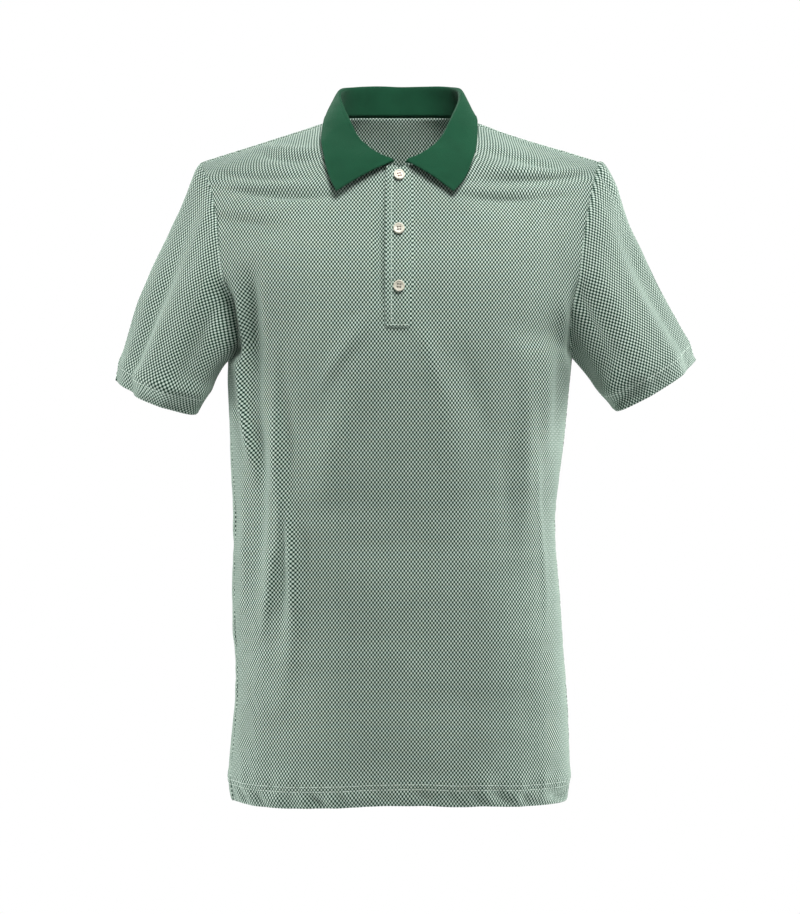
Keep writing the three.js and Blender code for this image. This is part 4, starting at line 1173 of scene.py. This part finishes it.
class POLO_OT_placket(bpy.types.Operator):
    """Makes the two strips of the placket"""

    bl_idname = "polo.placket"
    bl_label = "Placket"

    def execute(self, context):
        half = context.scene.polo_cloth.thickness * 500
        xs = np.unique(np.concatenate([
            [-15.5, -15.2, -14.7, -14, -13], np.arange(-12, 11, 1.0), [11.2, 12, 12.6, 13.1, 13.5],
            [-9.2, -8.8, -8.4],
        ]))
        grid, normals = make_strip(xs, FRONT_NECK[0][2] - 0.4, PLACKET_FOOT_Z, 2.1, 150)
        x = np.broadcast_to(xs, grid.shape[:2])
        flat = flat_cloth(grid, int(np.argmin(np.abs(xs))))
        v = flat[..., 1]
        from_foot = v - v[:1]
        lumps = 0.35 * drift(x, v, 12, 16, 81) + 0.12 * drift(x, v, 5, 6, 82)
        free, joined = STRIP_EDGES
        tucked = 2.0 * fades(joined - x, 9.0) + 0.9 * fades(from_foot, 2.0)
        lifted = 1.9 * fades(x - free, 7.0) * smooth(from_foot / 45)
        shaped = grid + normals * (lumps * smooth(from_foot / 10) - tucked + lifted)[..., None]
        final = grid_normals(shaped, 1)
        rounded = (0.45 + 0.55 * smooth((x + 15.5) / 1.5)) * (0.15 + 0.85 * smooth((13.5 - x) / 5.0))
        groove = 0.35 * near(x - STRIP_STITCHES_X, 0.7) + 0.35 * near(from_foot - STRIP_STITCHES_UP, 0.7)
        cloth = cloth_wall(
            "placket_top_cloth", shaped, final, half * rounded - groove, half * rounded,
            flat + [0.9, 1.3], MADE["body_knit"],
        )
        finish_sheet(cloth, ["placket_top"])
        MADE["placket_top"] = {
            "grid": shaped, "normals": final, "outer": half * rounded - groove, "xs": xs, "from_foot": from_foot,
        }
        xs = np.linspace(-15, 15, 25)
        grid, normals = make_strip(xs, FRONT_NECK[0][2] - 1, PLACKET_FOOT_Z + 2, -2.1, 90)
        flat = flat_cloth(grid, 12)
        thick = np.full(grid.shape[:2], half)
        cloth = cloth_wall(
            "placket_under_cloth", grid, normals, thick, thick, flat + [0.4, 2.1], MADE["body_knit"],
        )
        finish_sheet(cloth, ["placket_under"])
        return {"FINISHED"}


# Buttons

def button_blank(settings):
    """One button about the origin, facing +Z: a disc with a raised rim, a dished middle and four holes."""
    r, h = settings.radius, settings.thickness
    deselect_all()
    bpy.ops.mesh.primitive_cylinder_add(vertices=64, radius=r, depth=h * 0.9, location=(0, 0, h * 0.45))
    blank = bpy.context.object
    bpy.ops.object.mode_set(mode="EDIT")
    bpy.ops.mesh.select_mode(type="FACE")
    bpy.ops.mesh.select_all(action="DESELECT")
    bpy.ops.object.mode_set(mode="OBJECT")
    for f in blank.data.polygons:
        f.select = f.normal.z > 0.9
    bpy.ops.object.mode_set(mode="EDIT")
    bpy.ops.mesh.inset(thickness=r * 0.10, depth=h * 0.1)
    bpy.ops.mesh.inset(thickness=r * 0.12, depth=0.0)
    bpy.ops.mesh.inset(thickness=r * 0.07, depth=-h * 0.34)
    bpy.ops.mesh.inset(thickness=r * 0.12, depth=-h * 0.04)
    bpy.ops.object.mode_set(mode="OBJECT")
    for f in blank.data.polygons:
        f.select = f.normal.z < -0.9
    bpy.ops.object.mode_set(mode="EDIT")
    bpy.ops.mesh.inset(thickness=r * 0.16, depth=h * 0.06)
    bpy.ops.object.mode_set(mode="OBJECT")
    for x in (-1, 1):
        for y in (-1, 1):
            deselect_all()
            bpy.ops.mesh.primitive_cylinder_add(
                vertices=20, radius=r * 0.165, depth=h * 4, location=(x * r * HOLE_OUT, y * r * HOLE_OUT, h / 2),
            )
            drill = bpy.context.object
            cut = blank.modifiers.new("hole", "BOOLEAN")
            cut.operation, cut.object, cut.solver = "DIFFERENCE", drill, "EXACT"
            deselect_all()
            bpy.context.view_layer.objects.active = blank
            blank.select_set(True)
            bpy.ops.object.modifier_apply(modifier=cut.name)
            bpy.data.objects.remove(drill)
    soft = blank.modifiers.new("edges", "BEVEL")
    soft.width, soft.segments, soft.limit_method, soft.angle_limit = r * 0.035, 2, "ANGLE", math.radians(24)
    bpy.ops.object.modifier_apply(modifier=soft.name)
    bpy.ops.object.shade_smooth_by_angle(angle=math.radians(40))
    bpy.ops.object.transform_apply(location=True, rotation=True, scale=True)
    return blank


def thread_blank(settings):
    """Two bars of thread across a button's holes, and the shank behind them."""
    r, h = settings.radius, settings.thickness
    parts = []
    for y in (-1, 1):
        deselect_all()
        bpy.ops.mesh.primitive_cylinder_add(
            vertices=10, radius=r * 0.05, depth=r * 0.50, location=(0, y * r * 0.25, h * 0.66),
            rotation=(0, math.pi / 2, 0),
        )
        bar = bpy.context.object
        soft = bar.modifiers.new("ends", "BEVEL")
        soft.width, soft.segments, soft.limit_method = r * 0.05, 3, "ANGLE"
        bpy.ops.object.modifier_apply(modifier=soft.name)
        bpy.ops.object.transform_apply(location=True, rotation=True, scale=True)
        parts.append(bar)
        for x in (-1, 1):
            deselect_all()
            bpy.ops.mesh.primitive_cylinder_add(
                vertices=8, radius=r * 0.11, depth=h * 0.75, location=(x * r * 0.25, y * r * 0.25, h * 0.18),
            )
            bpy.ops.object.transform_apply(location=True, rotation=True, scale=True)
            parts.append(bpy.context.object)
    deselect_all()
    for part in parts:
        part.select_set(True)
    bpy.context.view_layer.objects.active = parts[0]
    bpy.ops.object.join()
    made = bpy.context.object
    bpy.ops.object.shade_smooth_by_angle(angle=math.radians(50))
    return made


class POLO_OT_buttons(bpy.types.Operator):
    """Makes the three buttons and the thread that holds them"""

    bl_idname = "polo.buttons"
    bl_label = "Buttons"

    def execute(self, context):
        settings = context.scene.polo_button
        glossy = plain_material(
            "button_cream", settings.colour, 0.3, 260, 0.05, Specular_IOR_Level=0.5, Coat_Weight=0.25, Coat_Roughness=0.15,
        )
        threads = {
            1: plain_material("button_thread_top", settings.top_thread, 0.8, 3000, 0.2),
            2: plain_material("button_thread", settings.thread, 0.8, 3000, 0.2),
        }
        blank, thread = button_blank(settings), thread_blank(settings)
        strip = MADE["placket_top"]
        skin = strip["grid"] + strip["normals"] * strip["outer"][..., None]
        column = int(np.argmin(np.abs(strip["xs"] - BUTTON_X)))
        for k, height in enumerate(BUTTON_HEIGHTS, start=1):
            row = int(np.argmin(np.abs(skin[:, column, 2] - height)))
            place, normal = skin[row, column] / 1000, strip["normals"][row, column]
            ahead = Vector(normal).normalized()
            if k == 1:
                ahead = (ahead + Vector((0.12, 0, 0.10))).normalized()
            right = Vector((1, 0, 0))
            right = (right - ahead * right.dot(ahead)).normalized()
            up = ahead.cross(right)
            turn = Matrix((right, up, ahead)).transposed().to_4x4()
            spin = Matrix.Rotation(math.radians({1: 20, 2: 4, 3: -7}[k]), 4, "Z")
            at = Matrix.Translation(Vector(place) + ahead * 0.0006) @ turn @ spin
            for source, name, material in (
                (blank, f"button_{k}_disc", glossy), (thread, f"button_{k}_thread", threads[min(k, 2)]),
            ):
                mesh = source.data.copy()
                mesh.transform(at)
                mesh.materials.clear()
                mesh.materials.append(material)
                made = bpy.data.objects.new(name, mesh)
                bpy.context.scene.collection.objects.link(made)
                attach(made, "root")
                if source is blank:
                    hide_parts(f"button_{k}")
        bpy.data.objects.remove(blank)
        bpy.data.objects.remove(thread)
        return {"FINISHED"}


# Stitching

def stitch_template():
    """One stitch: a short thread that dips into the cloth at both ends, 1 long and 1 thick."""
    along = np.array([-0.5, -0.38, 0.0, 0.38, 0.5])
    thick = np.array([0.35, 0.9, 1.0, 0.9, 0.35]) / 2
    rise = np.array([-0.7, 0.1, 0.35, 0.1, -0.7])
    ring = np.arange(6) * math.pi / 3
    points = np.array([
        (a, thick[i] * math.cos(b), rise[i] + thick[i] * math.sin(b)) for i, a in enumerate(along) for b in ring
    ])
    faces = [
        [i * 6 + k, (i + 1) * 6 + k, (i + 1) * 6 + (k + 1) % 6, i * 6 + (k + 1) % 6]
        for i in range(4) for k in range(6)
    ]
    ends = [[5, 4, 3, 2], [5, 2, 1, 0], [24, 25, 26, 27], [24, 27, 28, 29]]
    return points, np.array(faces + ends)


def stitches_along(line, normals, settings, start=0.0):
    """Places, directions and normals of the stitches along a line on the cloth."""
    far = far_along(line)
    pitch = settings.pitch * 1000
    count = int((far[-1] - start) / pitch)
    at = start + pitch * (np.arange(count) + 0.5)
    place = np.stack([np.interp(at, far, line[:, k]) for k in range(3)], axis=-1)
    normal = np.stack([np.interp(at, far, normals[:, k]) for k in range(3)], axis=-1)
    ahead = np.stack([np.interp(at + 0.6, far, line[:, k]) - np.interp(at - 0.6, far, line[:, k]) for k in range(3)], axis=-1)
    return place, ahead / np.maximum(np.linalg.norm(ahead, axis=1, keepdims=True), 1e-9), normal


def line_on(made, rows, columns):
    skin = made["grid"] + made["normals"] * made["outer"][..., None]
    return sample(skin, rows, columns), sample(made["normals"], rows, columns)


def level_line(made, field, at, first=0, last=None):
    """A line across a grid where a field that changes along the rows has one value."""
    wide = field.shape[1]
    columns = np.arange(first, (last or 0) + (wide if (last or 0) <= 0 else 0), dtype=float)
    rows = []
    for c in columns.astype(int):
        column = field[:, c]
        order = np.argsort(column)
        rows.append(np.interp(at, column[order], order.astype(float)))
    return line_on(made, np.array(rows), columns)


class POLO_OT_stitching(bpy.types.Operator):
    """Makes the lines of stitches on the hems, the placket and the shoulders"""

    bl_idname = "polo.stitching"
    bl_label = "Stitching"

    def execute(self, context):
        settings = context.scene.polo_stitch
        cloth = context.scene.polo_cloth
        hem, cuff = cloth.hem_depth * 1000, cloth.cuff_depth * 1000
        groups = {"hem_stitches": [], "sleeve_stitches": [], "placket_stitches": [], "shoulder_stitches": []}
        for name in ("front", "back"):
            for at in (hem - HEM_LINES_APART, hem):
                groups["hem_stitches"].append(level_line(MADE[name], MADE[name]["from_hem"], at, 5, -5))
        for name in ("sleeve_right", "sleeve_left"):
            groups["sleeve_stitches"].append(level_line(MADE[name], -MADE[name]["from_end"], -cuff, 3, -3))
        strip = MADE["placket_top"]
        rows = np.arange(4, strip["grid"].shape[0] - 2, dtype=float)
        column = np.interp(STRIP_STITCHES_X, strip["xs"], np.arange(len(strip["xs"])))
        groups["placket_stitches"].append(line_on(strip, rows, np.full_like(rows, column)))
        foot = np.interp(3.0, strip["from_foot"][:, len(strip["xs"]) // 2], np.arange(len(rows) + 6))
        columns = np.linspace(2, len(strip["xs"]) - 6, 30)
        groups["placket_stitches"].append(line_on(strip, np.full_like(columns, foot), columns))
        back = MADE["back"]
        seam = np.abs(back["shares"]) > NECK_SHARE + 0.02
        for side in (-1, 1):
            columns = np.flatnonzero(seam & (np.sign(back["shares"]) == side))[4:-4]
            groups["shoulder_stitches"].append(
                level_line(back, -back["from_top"], -SHOULDER_STITCHES, int(columns[0]), int(columns[-1])),
            )
        template, faces = stitch_template()
        thread = plain_material("stitch_thread", settings.colour, 0.75, 2500, 0.15, Specular_IOR_Level=0.3)
        size = np.array([settings.length, settings.thickness, settings.thickness]) * 1000
        for name, lines in groups.items():
            points, quads, count = [], [], 0
            for line, normals in lines:
                place, ahead, normal = stitches_along(line, normals, settings)
                beside = np.cross(normal, ahead)
                basis = np.stack([ahead, beside, normal], axis=1)
                made = np.einsum("vk,nkc->nvc", template * size, basis) + place[:, None, :]
                points.append(made.reshape(-1, 3))
                quads.append((faces[None] + (np.arange(len(place)) * len(template))[:, None, None] + count).reshape(-1, 4))
                count += made.shape[0] * len(template)
            stitched = mesh_object(name, np.concatenate(points), [np.concatenate(quads)], None, thread)
            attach(stitched, "root")
        return {"FINISHED"}


# Stage

class POLO_OT_stage(bpy.types.Operator):
    """Sets the pale floor, the soft lights and the camera"""

    bl_idname = "polo.stage"
    bl_label = "Stage"

    def execute(self, context):
        settings = context.scene.polo_stage
        scene = context.scene
        scene.view_settings.view_transform = "Standard"
        deselect_all()
        bpy.ops.mesh.primitive_circle_add(
            vertices=96, radius=1.8, fill_type="NGON", location=(0, 0, -settings.floor_height),
        )
        floor = bpy.context.object
        floor.name = "floor"
        bpy.ops.object.transform_apply(location=True, rotation=True, scale=True)
        paper = plain_material("floor_paper", settings.floor_colour, 0.9, 3, 0.01, Specular_IOR_Level=0.1)
        floor.data.materials.append(paper)

        world = bpy.data.worlds.new("studio")
        scene.world = world
        world.use_nodes = True
        nodes, links = world.node_tree.nodes, world.node_tree.links
        nodes.clear()
        seen, soft = nodes.new("ShaderNodeBackground"), nodes.new("ShaderNodeBackground")
        seen.inputs["Strength"].default_value = 1.0
        soft.inputs["Strength"].default_value = settings.sky
        path, both = nodes.new("ShaderNodeLightPath"), nodes.new("ShaderNodeMixShader")
        out = nodes.new("ShaderNodeOutputWorld")
        for shader in (seen, soft):
            shader.inputs["Color"].default_value = (1, 1, 1, 1)
        links.new(path.outputs["Is Camera Ray"], both.inputs[0])
        links.new(soft.outputs[0], both.inputs[1])
        links.new(seen.outputs[0], both.inputs[2])
        links.new(both.outputs[0], out.inputs["Surface"])

        for name, power, size, place, aim in (
            ("key", settings.key, 1.0, (0.3, -1.05, 1.25), (0, 0, -0.15)),
            ("fill", settings.fill, 1.5, (0.3, -2.6, 0.0), (0, 0, -0.35)),
            ("left", settings.sides * 0.56, 1.3, (-1.65, 0.02, -0.5), (0, 0, -0.42)),
            ("right", settings.sides * 0.78, 1.6, (1.65, 0.42, -0.35), (0, 0, -0.4)),
            ("rear", settings.sides * 0.6, 1.0, (-0.6, 1.5, 1.35), (0, 0, -0.3)),
        ):
            lamp = bpy.data.lights.new(name, "AREA")
            lamp.energy, lamp.size, lamp.shape = power, size, "DISK"
            made = bpy.data.objects.new(name, lamp)
            scene.collection.objects.link(made)
            made.location = place
            made.rotation_euler = (Vector(aim) - Vector(place)).to_track_quat("-Z", "Y").to_euler()

        camera = bpy.data.cameras.new("camera")
        camera.sensor_fit, camera.sensor_height = "VERTICAL", 36
        camera.lens = FOCAL_LENGTH / VIEW_HEIGHT * 36
        made = bpy.data.objects.new("camera", camera)
        scene.collection.objects.link(made)
        made.location = CAMERA_PLACE
        made.rotation_euler = (math.pi / 2, 0, 0)
        scene.camera = made
        return {"FINISHED"}


class POLO_PT_panel(bpy.types.Panel):
    """Lists the shirt's pieces in the order that they are made"""

    bl_idname = "POLO_PT_panel"
    bl_label = "Polo Shirt"
    bl_space_type = "VIEW_3D"
    bl_region_type = "UI"
    bl_category = "Polo Shirt"

    def draw(self, context):
        for group, operators in (
            ("polo_cloth", ("polo.body", "polo.sleeves", "polo.placket")),
            ("polo_collar", ("polo.collar",)),
            ("polo_button", ("polo.buttons",)),
            ("polo_stitch", ("polo.stitching",)),
            ("polo_stage", ("polo.stage",)),
        ):
            box = self.layout.box()
            settings = getattr(context.scene, group)
            for name in type(settings).__annotations__:
                box.prop(settings, name)
            for operator in operators:
                box.operator(operator)


SETTINGS = {
    "polo_cloth": PoloClothSettings,
    "polo_collar": PoloCollarSettings,
    "polo_button": PoloButtonSettings,
    "polo_stitch": PoloStitchSettings,
    "polo_stage": PoloStageSettings,
}
CLASSES = [
    *SETTINGS.values(), POLO_OT_stage, POLO_OT_body, POLO_OT_sleeves, POLO_OT_collar, POLO_OT_placket,
    POLO_OT_buttons, POLO_OT_stitching, POLO_PT_panel,
]


def register():
    for made in CLASSES:
        bpy.utils.register_class(made)
    for name, group in SETTINGS.items():
        setattr(bpy.types.Scene, name, bpy.props.PointerProperty(type=group))


def unregister():
    for name in SETTINGS:
        delattr(bpy.types.Scene, name)
    for made in reversed(CLASSES):
        bpy.utils.unregister_class(made)


def main():
    register()
    bpy.ops.polo.stage()
    bpy.ops.polo.body()
    bpy.ops.polo.sleeves()
    bpy.ops.polo.collar()
    bpy.ops.polo.placket()
    bpy.ops.polo.buttons()
    bpy.ops.polo.stitching()


if __name__ == "__main__":
    main()
